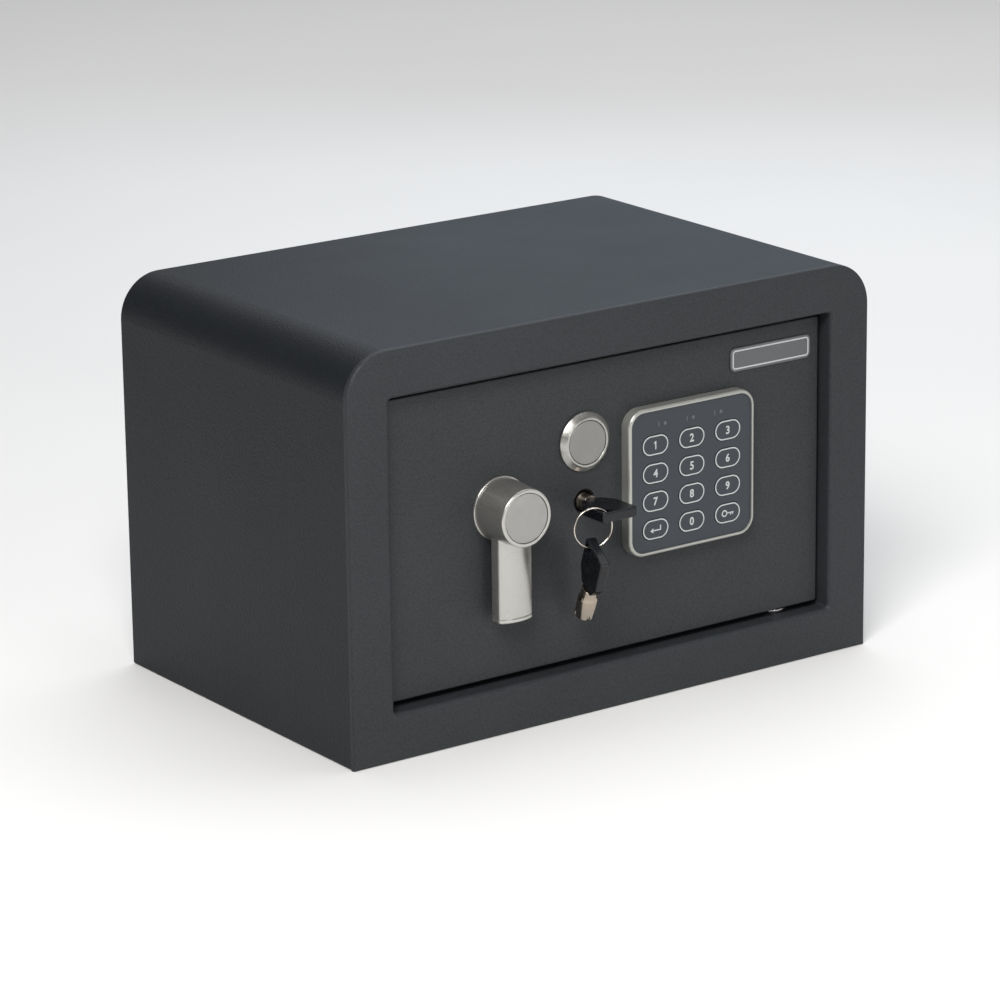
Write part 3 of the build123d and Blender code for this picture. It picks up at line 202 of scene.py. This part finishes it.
def powder_coat(name, tint):
    """Grained satin powder coat: pebbles about a millimetre wide, with a finer orange peel."""
    s = Surface(name, Specular_IOR_Level=0.24)
    wander = s.math("MULTIPLY", s.noise(260, 2), 0.0009)
    drift = s.vector(wander, wander, wander)
    warped = s.add("ShaderNodeVectorMath", {0: s.place, 1: drift}, operation="ADD").outputs[0]
    pebble = s.cells(1050, "SMOOTH_F1", warped)
    peel = s.noise(3200, 3)
    cloud = s.noise(9, 3, 0.6)
    tone = s.math("ADD", s.remap(pebble, 0.05, 0.6, 0.7, 0.0), s.remap(cloud, 0.3, 0.7, 0.0, 0.3))
    s.tinted(tone, tint, 0.74, 1.3)
    s.roughness(s.math("ADD", peel, cloud), 0.6, 1.4, 0.43, 0.56)
    return s.bump((pebble, 0.45, 0.0003), (peel, 0.35, 0.0001))


def satin_lacquer(name, tint, rough, metallic=0.87):
    """Metallic lacquer: fine flakes in an even satin coat."""
    s = Surface(name, Metallic=metallic, Specular_IOR_Level=0.5)
    flake = s.cells(7800, output="Color")
    glint = s.add("ShaderNodeSeparateColor", {"Color": flake}).outputs[0]
    cloud = s.noise(90, 2)
    peel = s.noise(1900, 2)
    shine = s.math("MULTIPLY", glint, s.remap(cloud, 0.3, 0.7, 0.7, 1.0))
    s.tinted(shine, tint, 0.9, 1.12)
    s.roughness(s.math("ADD", peel, cloud), 0.6, 1.4, rough - 0.03, rough + 0.05)
    return s.bump((peel, 0.06, 0.00003), (glint, 0.03, 0.00001))


def matt_disc(name, tint):
    """Finely blasted aluminium, slightly cloudy."""
    s = Surface(name, Metallic=0.92, Specular_IOR_Level=0.5)
    grain = s.noise(5200, 3, 0.7)
    cloud = s.noise(130, 2)
    s.tinted(s.math("MULTIPLY", grain, cloud), tint, 0.86, 1.25)
    s.roughness(grain, 0.3, 0.7, 0.44, 0.56)
    return s.bump((cloud, 0.05, 0.0002), (grain, 0.16, 0.00003))


def turned(name, tint, rough, centre):
    """Satin metal turned on a lathe about a centre in the XZ plane: fine rings, faint chatter."""
    s = Surface(name, Metallic=0.9, Specular_IOR_Level=0.5)
    x = s.math("SUBTRACT", s.axis("X"), centre.x)
    z = s.math("SUBTRACT", s.axis("Z"), centre.z)
    radius = s.math("SQRT", s.math("ADD", s.math("MULTIPLY", x, x), s.math("MULTIPLY", z, z)))
    angle = s.math("ARCTAN2", z, x)
    rings_per_metre = 6000.0
    ring = s.noise(1.0, 2, 0.6, s.vector(s.math("MULTIPLY", radius, rings_per_metre), angle))
    chatter = s.noise(7.0, 2, 0.6, s.vector(radius, angle))
    s.tinted(s.math("MULTIPLY", ring, chatter), tint, 0.78, 1.45)
    s.roughness(s.math("ADD", ring, chatter), 0.6, 1.4, rough - 0.04, rough + 0.08)
    return s.bump((chatter, 0.1, 0.00008), (ring, 0.16, 0.00003))


def plated(name, tint, rough, lines=(1.0, 1.0, 1.0), passivated=0.0):
    """Plated steel: drawn or turned lines, smudges and, on zinc, a faint coloured bloom."""
    s = Surface(name, Metallic=1.0, Specular_IOR_Level=0.5)
    mark = s.noise(900, 3, 0.6, s.stretched(*lines))
    smudge = s.noise(140, 3, 0.6)
    bloom = s.noise(60, 2)
    warm = (tint[0] * 1.06, tint[1], tint[2] * (1 - 0.3 * passivated))
    cool = (tint[0] * (1 - 0.12 * passivated), tint[1] * 0.98, tint[2] * 1.05)
    base = s.blend(s.remap(bloom, 0.35, 0.65, 0.0, 1.0), cool, warm)
    s.colour(s.blend(s.remap(mark, 0.3, 0.7, 0.0, 0.25), base, shade(tint, 0.6)))
    s.roughness(s.math("ADD", mark, smudge), 0.6, 1.4, rough - 0.06, rough + 0.12)
    return s.bump((smudge, 0.04, 0.0002), (mark, 0.08, 0.00004))


def moulded(name, tint, rough, grain=2200, depth=0.00004, specular=0.5):
    """Moulded plastic: fine spark texture, slightly uneven gloss."""
    s = Surface(name, Specular_IOR_Level=specular)
    spark = s.noise(grain, 3, 0.6)
    cloud = s.noise(70, 2)
    s.tinted(s.remap(s.math("ADD", spark, cloud), 0.7, 1.3, 0.0, 1.0), tint, 0.8, 1.25)
    s.roughness(s.math("ADD", spark, cloud), 0.6, 1.4, rough - 0.06, rough + 0.08)
    return s.bump((cloud, 0.05, 0.0004), (spark, 0.18, depth))


def printed_film(name, tint):
    """Screen-printed polyester film with a very fine velvet texture."""
    s = Surface(name, Specular_IOR_Level=0.42)
    velvet = s.noise(4200, 3, 0.7)
    sag = s.noise(45, 2)
    s.tinted(s.remap(velvet, 0.3, 0.7, 0.0, 1.0), tint, 0.88, 1.12)
    s.roughness(s.math("ADD", velvet, sag), 0.6, 1.4, 0.3, 0.42)
    return s.bump((sag, 0.1, 0.0006), (velvet, 0.12, 0.00003))


def ink(name, tint):
    """Screen-printing ink with the faint mark of the mesh."""
    s = Surface(name, Metallic=0.25, Specular_IOR_Level=0.4)
    mesh_mark = s.noise(5000, 2)
    s.tinted(mesh_mark, tint, 0.82, 1.12)
    s.roughness(mesh_mark, 0.3, 0.7, 0.42, 0.58)
    return s.bump((mesh_mark, 0.1, 0.00002))


def solder_mask():
    """Green board: copper tracks show as lighter ridges, with pads here and there."""
    s = Surface("circuit_board", Specular_IOR_Level=0.5)
    across = s.noise(420, 0, 0.5, s.stretched(0.12, 1.0, 1.0))
    upright = s.noise(420, 0, 0.5, s.stretched(1.0, 1.0, 0.12))
    patch = s.remap(s.noise(55, 1), 0.48, 0.52, 0.0, 1.0)
    lines = s.math("ADD", s.math("MULTIPLY", across, patch),
                   s.math("MULTIPLY", upright, s.math("SUBTRACT", 1.0, patch)))
    track = s.remap(s.math("PINGPONG", lines, 0.05), 0.018, 0.026, 0.0, 1.0)
    pad = s.remap(s.cells(210), 0.16, 0.2, 1.0, 0.0)
    green = s.blend(track, (0.006, 0.075, 0.03), (0.014, 0.16, 0.06))
    s.colour(s.blend(pad, green, (0.45, 0.44, 0.4)))
    s.roughness(s.noise(700, 2), 0.3, 0.7, 0.26, 0.42)
    return s.bump((track, 0.3, 0.00006), (pad, 0.4, 0.0001))


def winding():
    """Enamelled wire wound round the solenoid, turn by turn, with painted shade in the crease between
    turns.
    """
    s = Surface("copper_coil", Metallic=0.85, Specular_IOR_Level=0.5)
    wire = 0.45 * MM
    turn = s.math("SINE", s.math("MULTIPLY", s.axis("Z"), 2 * math.pi / wire))
    cloud = s.noise(240, 2)
    # dark copper where the sine is low, in the crease between turns, is painted shade
    s.colour(s.blend(s.remap(turn, -1, 1, 0.0, 1.0), (0.16, 0.05, 0.015), (0.62, 0.25, 0.09)))
    s.roughness(cloud, 0.3, 0.7, 0.28, 0.42)
    return s.bump((turn, 0.7, 0.00012))


def cell_sleeve():
    """Shrunk sleeve of a battery cell in two plain colours, worn, with bare metal at its ends."""
    s = Surface("battery_sleeve", Specular_IOR_Level=0.5, Coat_Weight=0.4, Coat_Roughness=0.12)
    low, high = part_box("battery_cells")
    blue, copper, worn, steel = (0.03, 0.045, 0.09), (0.5, 0.27, 0.1), (0.4, 0.4, 0.4), (0.5, 0.5, 0.48)
    copper_from, bare_from = 13.35 * MM, 24 * MM
    soft, crisp = 0.15 * MM, 0.05 * MM
    reach = s.math("ABSOLUTE", s.math("SUBTRACT", s.axis("X"), (low.x + high.x) / 2))
    scuff = s.noise(600, 3, 0.7)
    sleeve = s.blend(s.remap(reach, copper_from - soft, copper_from + soft, 0.0, 1.0), blue, copper)
    scuffed = s.blend(s.remap(scuff, 0.62, 0.8, 0.0, 0.4), sleeve, worn)
    bare = s.remap(reach, bare_from - crisp, bare_from + crisp, 0.0, 1.0)
    s.colour(s.blend(bare, scuffed, steel))
    s.roughness(scuff, 0.3, 0.7, 0.24, 0.4)
    return s.bump((scuff, 0.06, 0.00006))


def ribbon():
    """Flat cable: parallel grey wires in one strip, with painted shade in the grooves between wires."""
    s = Surface("cable_plastic", Specular_IOR_Level=0.45)
    pitch = 1.0 * MM
    wire = s.math("SINE", s.math("MULTIPLY", s.axis("X"), 2 * math.pi / pitch))
    dirt = s.noise(300, 2)
    # darker grey in the grooves between wires is painted shade
    s.colour(s.blend(s.remap(wire, -1, 1, 0.0, 1.0), (0.16, 0.16, 0.18), (0.42, 0.42, 0.44)))
    s.roughness(dirt, 0.3, 0.7, 0.4, 0.55)
    return s.bump((wire, 0.6, 0.0002))


def felt():
    """Needled felt: matted fibres in several greys, matt with a slight sheen."""
    s = Surface("felt", Specular_IOR_Level=0.15, Sheen_Weight=0.35, Sheen_Roughness=0.6)
    fibre = s.noise(1500, 4, 0.75, s.stretched(1.0, 0.35, 1.0))
    cross_fibre = s.noise(1300, 4, 0.75, s.stretched(0.3, 1.0, 1.0))
    tuft = s.cells(420)
    mat = s.math("ADD", fibre, cross_fibre)
    s.colour(s.blend(s.remap(mat, 0.75, 1.25, 0.0, 1.0), (0.018, 0.019, 0.021), (0.085, 0.087, 0.092)))
    s.roughness(mat, 0.7, 1.3, 0.85, 0.98)
    return s.bump((tuft, 0.4, 0.0007), (mat, 0.8, 0.0004))


def floor_paint():
    """Plain pale floor with barely visible clouds."""
    s = Surface("pale_floor", Specular_IOR_Level=0.2)
    cloud = s.noise(3, 2)
    s.colour(s.blend(cloud, (0.80, 0.80, 0.80), (0.83, 0.83, 0.83)))
    s.roughness(cloud, 0.3, 0.7, 0.7, 0.8)
    return s


SLOTS = {
    "case_paint": powder_coat("case_paint", (0.027, 0.030, 0.034)),
    "door_paint": powder_coat("door_paint", (0.0295, 0.0315, 0.034)),
    "inside_paint": powder_coat("inside_paint", (0.027, 0.029, 0.032)),
    "zinc_steel": plated("zinc_steel", (0.60, 0.60, 0.57), 0.36, (1.0, 0.25, 1.0), 0.7),
    "bright_steel": plated("bright_steel", (0.70, 0.70, 0.68), 0.24, (4.0, 0.3, 0.3)),
    "spring_steel": plated("spring_steel", (0.52, 0.52, 0.52), 0.3),
    "dark_metal": plated("dark_metal", (0.045, 0.045, 0.048), 0.38),
    "satin_silver": satin_lacquer("satin_silver", (0.51, 0.50, 0.475), 0.285),
    "silver_disc": matt_disc("silver_disc", (0.30, 0.297, 0.288)),
    "silver_plate": satin_lacquer("silver_plate", (0.15, 0.155, 0.16), 0.42),
    "panel_plastic": printed_film("panel_plastic", (0.027, 0.033, 0.041)),
    "keypad_key": printed_film("keypad_key", (0.027, 0.033, 0.041)),
    "lens_plastic": moulded("lens_plastic", (0.09, 0.1, 0.1), 0.3, 1200),
    "circuit_board": solder_mask(),
    "copper_coil": winding(),
    "black_plastic": moulded("black_plastic", (0.018, 0.018, 0.019), 0.48),
    "battery_sleeve": cell_sleeve(),
    "cable_plastic": ribbon(),
    "key_plastic": moulded("key_plastic", (0.0036, 0.0046, 0.0065), 0.27, 1500, 0.00003, 0.42),
    "key_metal": plated("key_metal", (0.42, 0.38, 0.31), 0.14),
    "ring_nickel": plated("ring_nickel", (0.66, 0.63, 0.56), 0.17),
    "button_plastic": moulded("button_plastic", (0.42, 0.02, 0.015), 0.26, 1200),
    "felt": felt(),
}
COVER_CENTRE = sum(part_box("lock_cover"), Vector()) / 2
# the case's powder coat again, made darker: painted shade on the sides, top, back panel and base plate
SHADED_WRAP_PAINT = powder_coat("shaded_wrap_paint", (0.0105, 0.0125, 0.0155))
LOOKS = {
    "case_wrap": SHADED_WRAP_PAINT,
    "back_panel": SHADED_WRAP_PAINT,
    "base_plate": SHADED_WRAP_PAINT,
    "keypad_housing": satin_lacquer("housing_lacquer", (0.41, 0.41, 0.385), 0.34, 0.66),
    "handle_inset": matt_disc("inset_disc", (0.40, 0.395, 0.385)),
    "lock_cover": turned("turned_silver", (0.46, 0.455, 0.43), 0.3, COVER_CENTRE),
}
SILVER_INK = ink("silver_ink", (0.50, 0.51, 0.52))
FAINT_INK = ink("faint_ink", (0.16, 0.17, 0.18))

NODE_SLOTS = {part["node"]: part["material_slot"] for part in frame["record"]["subparts"]}
NODE_BODIES = {
    node: body for body, group in frame["record"]["behaviour"]["bodies"].items() for node in group
}

for name, slot in NODE_SLOTS.items():
    nodes[name].data.materials.clear()
    nodes[name].data.materials.append(LOOKS.get(name, SLOTS[slot]).material)


# ---- building meshes ----------------------------------------------------------------------
def mesh_of(obj):
    """The mesh that a text or curve object turns into; the object goes."""
    bpy.context.scene.collection.objects.link(obj)
    mesh = bpy.data.meshes.new_from_object(obj.evaluated_get(bpy.context.evaluated_depsgraph_get()))
    bpy.data.objects.remove(obj)
    return mesh


def show(name, mesh, surface, body):
    """Puts a finished mesh in the scene as a piece that rides on a body."""
    obj = bpy.data.objects.new(name, mesh)
    bpy.context.scene.collection.objects.link(obj)
    mesh.materials.clear()
    mesh.materials.append(surface.material)
    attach(obj, body)
    return obj


def stadium(width, height, steps=20):
    """Outline of a pill, as (x, z) points going round anticlockwise."""
    radius = height / 2
    reach = width / 2 - radius
    points = []
    for centre, start in ((reach, -90), (-reach, 90)):
        for i in range(steps + 1):
            angle = math.radians(start + 180 * i / steps)
            points.append((centre + radius * math.cos(angle), radius * math.sin(angle)))
    return points


def circle(radius, steps=40):
    """Outline of a circle, as (x, z) points."""
    angles = [2 * math.pi * i / steps for i in range(steps)]
    return [(radius * math.cos(a), radius * math.sin(a)) for a in angles]


def rounded(width, height, radius, steps=8):
    """Outline of a rounded rectangle, as (x, z) points."""
    points = []
    for i, (sx, sz) in enumerate(((1, 1), (-1, 1), (-1, -1), (1, -1))):
        for k in range(steps + 1):
            angle = math.radians(90 * i + 90 * k / steps)
            x = sx * (width / 2 - radius) + radius * math.cos(angle)
            z = sz * (height / 2 - radius) + radius * math.sin(angle)
            points.append((x, z))
    return points


def plate(bm, outline, centre, y, hole=()):
    """Thin ink film in front of y: an outline in the XZ plane, with an opening if hole is given."""
    def loop(points, depth):
        return [bm.verts.new((centre[0] + px, depth, centre[1] + pz)) for px, pz in points]

    def wall(front, back):
        for i in range(len(front)):
            j = (i + 1) % len(front)
            bm.faces.new((front[i], front[j], back[j], back[i]))

    front, back = loop(outline, y - INK_T), loop(outline, y)
    wall(front, back)
    if hole:
        inner_front, inner_back = loop(hole, y - INK_T), loop(hole, y)
        wall(inner_back, inner_front)
        wall(inner_front, front)
        wall(back, inner_back)
    else:
        bm.faces.new(front)
        bm.faces.new(back[::-1])


def bar(bm, x0, z0, x1, z1, y, shift=(0, 0)):
    """Straight printed stroke between two corners."""
    corners = [(x0, z0), (x1, z0), (x1, z1), (x0, z1)]
    plate(bm, corners, shift, y)


def add_digit(bm, text, centre, y):
    """A numeral as raised ink, from the program's own plain font."""
    curve = bpy.data.curves.new("numeral", "FONT")
    curve.body = text
    curve.size = 1.0
    curve.offset = DIGIT_BOLD
    curve.resolution_u = 4
    flat = mesh_of(bpy.data.objects.new("numeral", curve))
    xs = [v.co.x for v in flat.vertices]
    ys = [v.co.y for v in flat.vertices]
    scale = DIGIT_H / (max(ys) - min(ys))
    middle = Vector(((max(xs) + min(xs)) / 2, (max(ys) + min(ys)) / 2, 0))
    placed = Matrix.Translation((centre[0], y - INK_T, centre[1]))
    upright = Matrix.Rotation(math.pi / 2, 4, "X")
    sized = Matrix.Diagonal((scale * DIGIT_NARROW, scale, 1, 1))
    flat.transform(placed @ upright @ sized @ Matrix.Translation(-middle))
    bm.from_mesh(flat)
    bpy.data.meshes.remove(flat)


def add_one(bm, centre, y):
    """The numeral one: an upright stroke with a flag."""
    top, stem, flag = DIGIT_H / 2, 0.42 * MM, 0.95 * MM
    flag_top, flag_foot, crotch = top - 0.75 * MM, top - 1.4 * MM, top - 1.0 * MM
    outline = [(-stem / 2, -top), (stem, -top), (stem, top), (stem / 3, top)]
    outline += [(-flag, flag_top), (-flag, flag_foot), (-stem / 2, crotch)]
    plate(bm, outline, centre, y)


def add_key_symbol(bm, centre, y):
    """A key lying on its side: a ring, a shaft and two teeth."""
    outer_r, inner_r, half_line = 1.75 * MM, 1.1 * MM, 0.3 * MM
    shaft_start, shaft_end, tooth_w = 1.7 * MM, 5.6 * MM, 0.5 * MM
    teeth = ((3.6 * MM, 1.3 * MM), (4.8 * MM, 1.1 * MM))
    ring_left = 1.9 * MM
    shift = (centre[0] - ring_left, centre[1])
    plate(bm, circle(outer_r), shift, y, circle(inner_r))
    bar(bm, shaft_start, -half_line, shaft_end, half_line, y, shift)
    for x, depth in teeth:
        bar(bm, x, -depth, x + tooth_w, -half_line, y, shift)


def add_return_symbol(bm, centre, y):
    """A bent arrow pointing left, for enter."""
    line, corner_x, top_z, middle_z = 0.6 * MM, 2.6 * MM, 1.7 * MM, -0.6 * MM
    line_end, tip, barb, head_h = -1.6 * MM, -3.3 * MM, -1.5 * MM, 1.3 * MM
    low, high = middle_z - line / 2, middle_z + line / 2
    bar(bm, corner_x, low, corner_x + line, top_z, y, centre)
    bar(bm, line_end, low, corner_x, high, y, centre)
    plate(bm, [(tip, middle_z), (barb, middle_z - head_h), (barb, middle_z + head_h)], centre, y)


def finished(bm, name):
    """Turns a bmesh into a mesh with its faces turned outwards, and frees it."""
    mesh = bpy.data.meshes.new(name)
    bmesh.ops.recalc_face_normals(bm, faces=bm.faces)
    bm.to_mesh(mesh)
    bm.free()
    return mesh


# ---- prints --------------------------------------------------------------------------------
def front_of(node):
    """The (x, z) middle of a node's box, and the y of its front."""
    low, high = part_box(node)
    return ((low.x + high.x) / 2, (low.z + high.z) / 2), low.y


def print_key(key):
    """Silver outline and mark printed on one key."""
    name = f"key_{key}_print"
    centre, y = front_of(f"key_{key}")
    bm = bmesh.new()
    hole = stadium(PILL_W - 2 * PILL_LINE, PILL_H - 2 * PILL_LINE)
    plate(bm, stadium(PILL_W, PILL_H), centre, y, hole)
    if key == "enter":
        add_return_symbol(bm, centre, y)
    elif key == "clear":
        add_key_symbol(bm, centre, y)
    elif key == "1":
        add_one(bm, centre, y)
    else:
        add_digit(bm, key, centre, y)
    show(name, finished(bm, name), SILVER_INK, f"key_{key}")


def print_ticks():
    """Faint ticks beside the three lenses."""
    panel_y = front_of("keypad_panel")[1]
    lens_z = front_of("led_lenses")[0][1]
    bm = bmesh.new()
    for lens_x in LENS_XS:
        spot = (lens_x - TICK_GAP, lens_z)
        bar(bm, -TICK_W / 2, -TICK_H / 2, TICK_W / 2, TICK_H / 2, panel_y, spot)
    show("lens_ticks", finished(bm, "lens_ticks"), FAINT_INK, "door")


def print_border():
    """Silver line inside the edge of the blank nameplate."""
    low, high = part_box("nameplate")
    centre, y = front_of("nameplate")
    width, height = high.x - low.x - 2 * BORDER_INSET, high.z - low.z - 2 * BORDER_INSET
    outline = rounded(width, height, BORDER_R)
    hole = rounded(width - 2 * BORDER_W, height - 2 * BORDER_W, BORDER_R - BORDER_W)
    bm = bmesh.new()
    plate(bm, outline, centre, y, hole)
    show("nameplate_border", finished(bm, "nameplate_border"), SILVER_INK, "door")


for key in ("1", "2", "3", "4", "5", "6", "7", "8", "9", "enter", "0", "clear"):
    print_key(key)
print_ticks()
print_border()


# ---- edges ---------------------------------------------------------------------------------
SHARP = math.radians(34)
WELD = 0.002 * MM
FLAT = math.radians(0.6)
EDGE_RADII = {           # millimetres
    "handle": 0.3, "lock_cover": 0.25, "lock_key_shank": 0.25, "spare_key_shank": 0.25,
    "hinge_washers": 0.3, "live_bolts": 0.5, "bolt_plate": 0.3, "battery_lid": 0.5, "battery_box": 0.5,
    "handle_crank": 0.4, "lock_housing": 0.3, "dog_bar": 0.4, "solenoid_frame": 0.3,
}


def soften(name, radius):
    """Stands in for a CAD piece with the same shape, its sharp edges rounded off."""
    source = nodes[name]
    bm = bmesh.new()
    bm.from_mesh(source.data)
    bmesh.ops.remove_doubles(bm, verts=bm.verts, dist=WELD)
    bmesh.ops.dissolve_limit(bm, angle_limit=FLAT, verts=bm.verts, edges=bm.edges)
    edges = [e for e in bm.edges if len(e.link_faces) == 2 and e.calc_face_angle() > SHARP]
    bmesh.ops.bevel(
        bm, geom=edges, offset=radius, segments=3, profile=0.5, affect="EDGES", clamp_overlap=True
    )
    mesh = finished(bm, f"{name}_soft")
    slot = NODE_SLOTS[name]
    obj = show(f"{name}_soft", mesh, LOOKS.get(name, SLOTS[slot]), NODE_BODIES[name])
    mesh.shade_smooth()
    mesh.set_sharp_from_angle(angle=SHARP)
    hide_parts(name)


for piece, radius in EDGE_RADII.items():
    soften(piece, radius * MM)


# ---- felt mat -----------------------------------------------------------------------------
def lay_mat():
    """Mat of felt on the base plate, a little wavy, with holes round the two floor anchors."""
    low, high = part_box("floor_mat")
    across = round((high.x - low.x) / MAT_PITCH)
    along = round((high.y - low.y) / MAT_PITCH)
    bm = bmesh.new()
    grid = {}
    for i in range(across + 1):
        for j in range(along + 1):
            x = low.x + (high.x - low.x) * i / across
            y = low.y + (high.y - low.y) * j / along
            for side in (-1, 1):    # points near a hole's edge move onto it
                dx, dy = x - side * ANCHOR_X, y - ANCHOR_Y
                reach = math.hypot(dx, dy)
                if MAT_HOLE_R - MAT_PITCH * 0.5 < reach < MAT_HOLE_R + MAT_PITCH * 0.75:
                    x = side * ANCHOR_X + dx * MAT_HOLE_R / reach
                    y = ANCHOR_Y + dy * MAT_HOLE_R / reach
            rise = MAT_WAVE * (math.sin(41 * x + 3) + math.sin(57 * y + 1.3 + 20 * x))
            grid[i, j] = bm.verts.new((x, y, high.z - MAT_SINK + rise))
    for i in range(across):
        for j in range(along):
            corners = [grid[i, j], grid[i + 1, j], grid[i + 1, j + 1], grid[i, j + 1]]
            middle = sum((v.co for v in corners), Vector()) / 4
            gap = min(math.hypot(middle.x - side * ANCHOR_X, middle.y - ANCHOR_Y) for side in (-1, 1))
            if gap > MAT_HOLE_R - 0.2 * MM:
                bm.faces.new(corners)
    bmesh.ops.delete(bm, geom=[v for v in bm.verts if not v.link_faces], context="VERTS")
    mat = show("felt_mat", finished(bm, "felt_mat"), SLOTS["felt"], "case")
    mat.data.shade_smooth()
    thick = mat.modifiers.new("thickness", "SOLIDIFY")
    thick.thickness = high.z - low.z - MAT_SKIN
    thick.offset = -1
    edge = mat.modifiers.new("soft_edge", "BEVEL")
    edge.width = MAT_EDGE_R
    edge.segments = 2
    edge.limit_method = "ANGLE"
    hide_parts("floor_mat")


lay_mat()


# ---- key ring -----------------------------------------------------------------------------
def wind_ring():
    """Split ring: two turns of round wire side by side in the place of the CAD ring."""
    low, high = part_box("key_ring")
    centre = (low + high) / 2
    radius = (high.z - low.z) / 2 - CAD_WIRE_R
    heading = -math.acos(min(1.0, ((high.x - low.x) / 2 - CAD_WIRE_R) / radius))
    out = Vector((math.cos(heading), math.sin(heading), 0))
    normal = Vector((-math.sin(heading), math.cos(heading), 0))
    curve = bpy.data.curves.new("split_ring", "CURVE")
    curve.dimensions = "3D"
    curve.bevel_depth = WIRE_R
    curve.bevel_resolution = 4
    curve.use_fill_caps = True
    spline = curve.splines.new("POLY")
    spline.points.add(RING_STEPS)
    for i in range(RING_STEPS + 1):
        share = i / RING_STEPS
        angle = 2 * math.pi * RING_TURNS * share + RING_START
        around = out * math.cos(angle) + Vector((0, 0, math.sin(angle)))
        sideways = math.tanh(CROSS_OVER * (share - 0.5)) * WIRE_R * TURN_OFFSET
        spot = centre + radius * around + normal * sideways
        spline.points[i].co = (*spot, 1.0)
    mesh = mesh_of(bpy.data.objects.new("split_ring_line", curve))
    mesh.shade_smooth()
    ring = show("split_ring", mesh, SLOTS["ring_nickel"], "key_ring")
    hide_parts("key_ring")


wind_ring()


# ---- studio -------------------------------------------------------------------------------
def make_floor():
    """Pale round floor, far wider than the view."""
    bm = bmesh.new()
    bmesh.ops.create_circle(bm, cap_ends=True, radius=FLOOR_R, segments=96)
    obj = bpy.data.objects.new("floor", finished(bm, "floor"))
    obj.data.materials.append(floor_paint().material)
    bpy.context.scene.collection.objects.link(obj)


def towards(azimuth, elevation):
    """Direction from the object, in degrees; azimuth 0 is in front, 90 is on the right."""
    a, e = math.radians(azimuth), math.radians(elevation)
    return Vector((math.sin(a) * math.cos(e), -math.cos(a) * math.cos(e), math.sin(e)))


def panel_light(name, azimuth, elevation, distance, size, power, colour):
    """Soft panel aimed at the object."""
    way = towards(azimuth, elevation)
    light = bpy.data.lights.new(name, "AREA")
    light.shape = "RECTANGLE"
    light.size, light.size_y = size
    light.energy = power
    light.color = colour
    lamp = bpy.data.objects.new(name, light)
    lamp.location = AIM + way * distance
    lamp.rotation_mode = "QUATERNION"
    lamp.rotation_quaternion = way.to_track_quat("Z", "Y")
    lamp.visible_camera = False
    bpy.context.scene.collection.objects.link(lamp)


def make_world():
    """Weak pale light from all round."""
    world = bpy.data.worlds.new("studio")
    world.use_nodes = True
    back = world.node_tree.nodes["Background"]
    back.inputs["Color"].default_value = WORLD_TINT
    back.inputs["Strength"].default_value = WORLD_STRENGTH
    bpy.context.scene.world = world


def make_camera():
    """Camera at the photograph's viewing angle, with its slight roll."""
    data = bpy.data.cameras.new("camera")
    data.sensor_width = SENSOR_W
    data.lens = LENS
    data.clip_start, data.clip_end = 0.05, 60.0
    back = towards(CAMERA_AZIMUTH, CAMERA_ELEVATION)
    roll = math.radians(CAMERA_ROLL)
    right = (-back).cross(Vector((0, 0, 1))).normalized()
    up = back.cross(right)
    leaned_right = right * math.cos(roll) + up * math.sin(roll)
    leaned_up = up * math.cos(roll) - right * math.sin(roll)
    camera = bpy.data.objects.new("camera", data)
    turn = Matrix((leaned_right, leaned_up, back)).transposed().to_4x4()
    camera.matrix_world = Matrix.Translation(CAMERA_SPOT) @ turn
    bpy.context.scene.collection.objects.link(camera)
    bpy.context.scene.camera = camera


make_floor()
make_world()
make_camera()
for light in LIGHTS:
    panel_light(*light)
bpy.context.scene.view_settings.view_transform = "Standard"
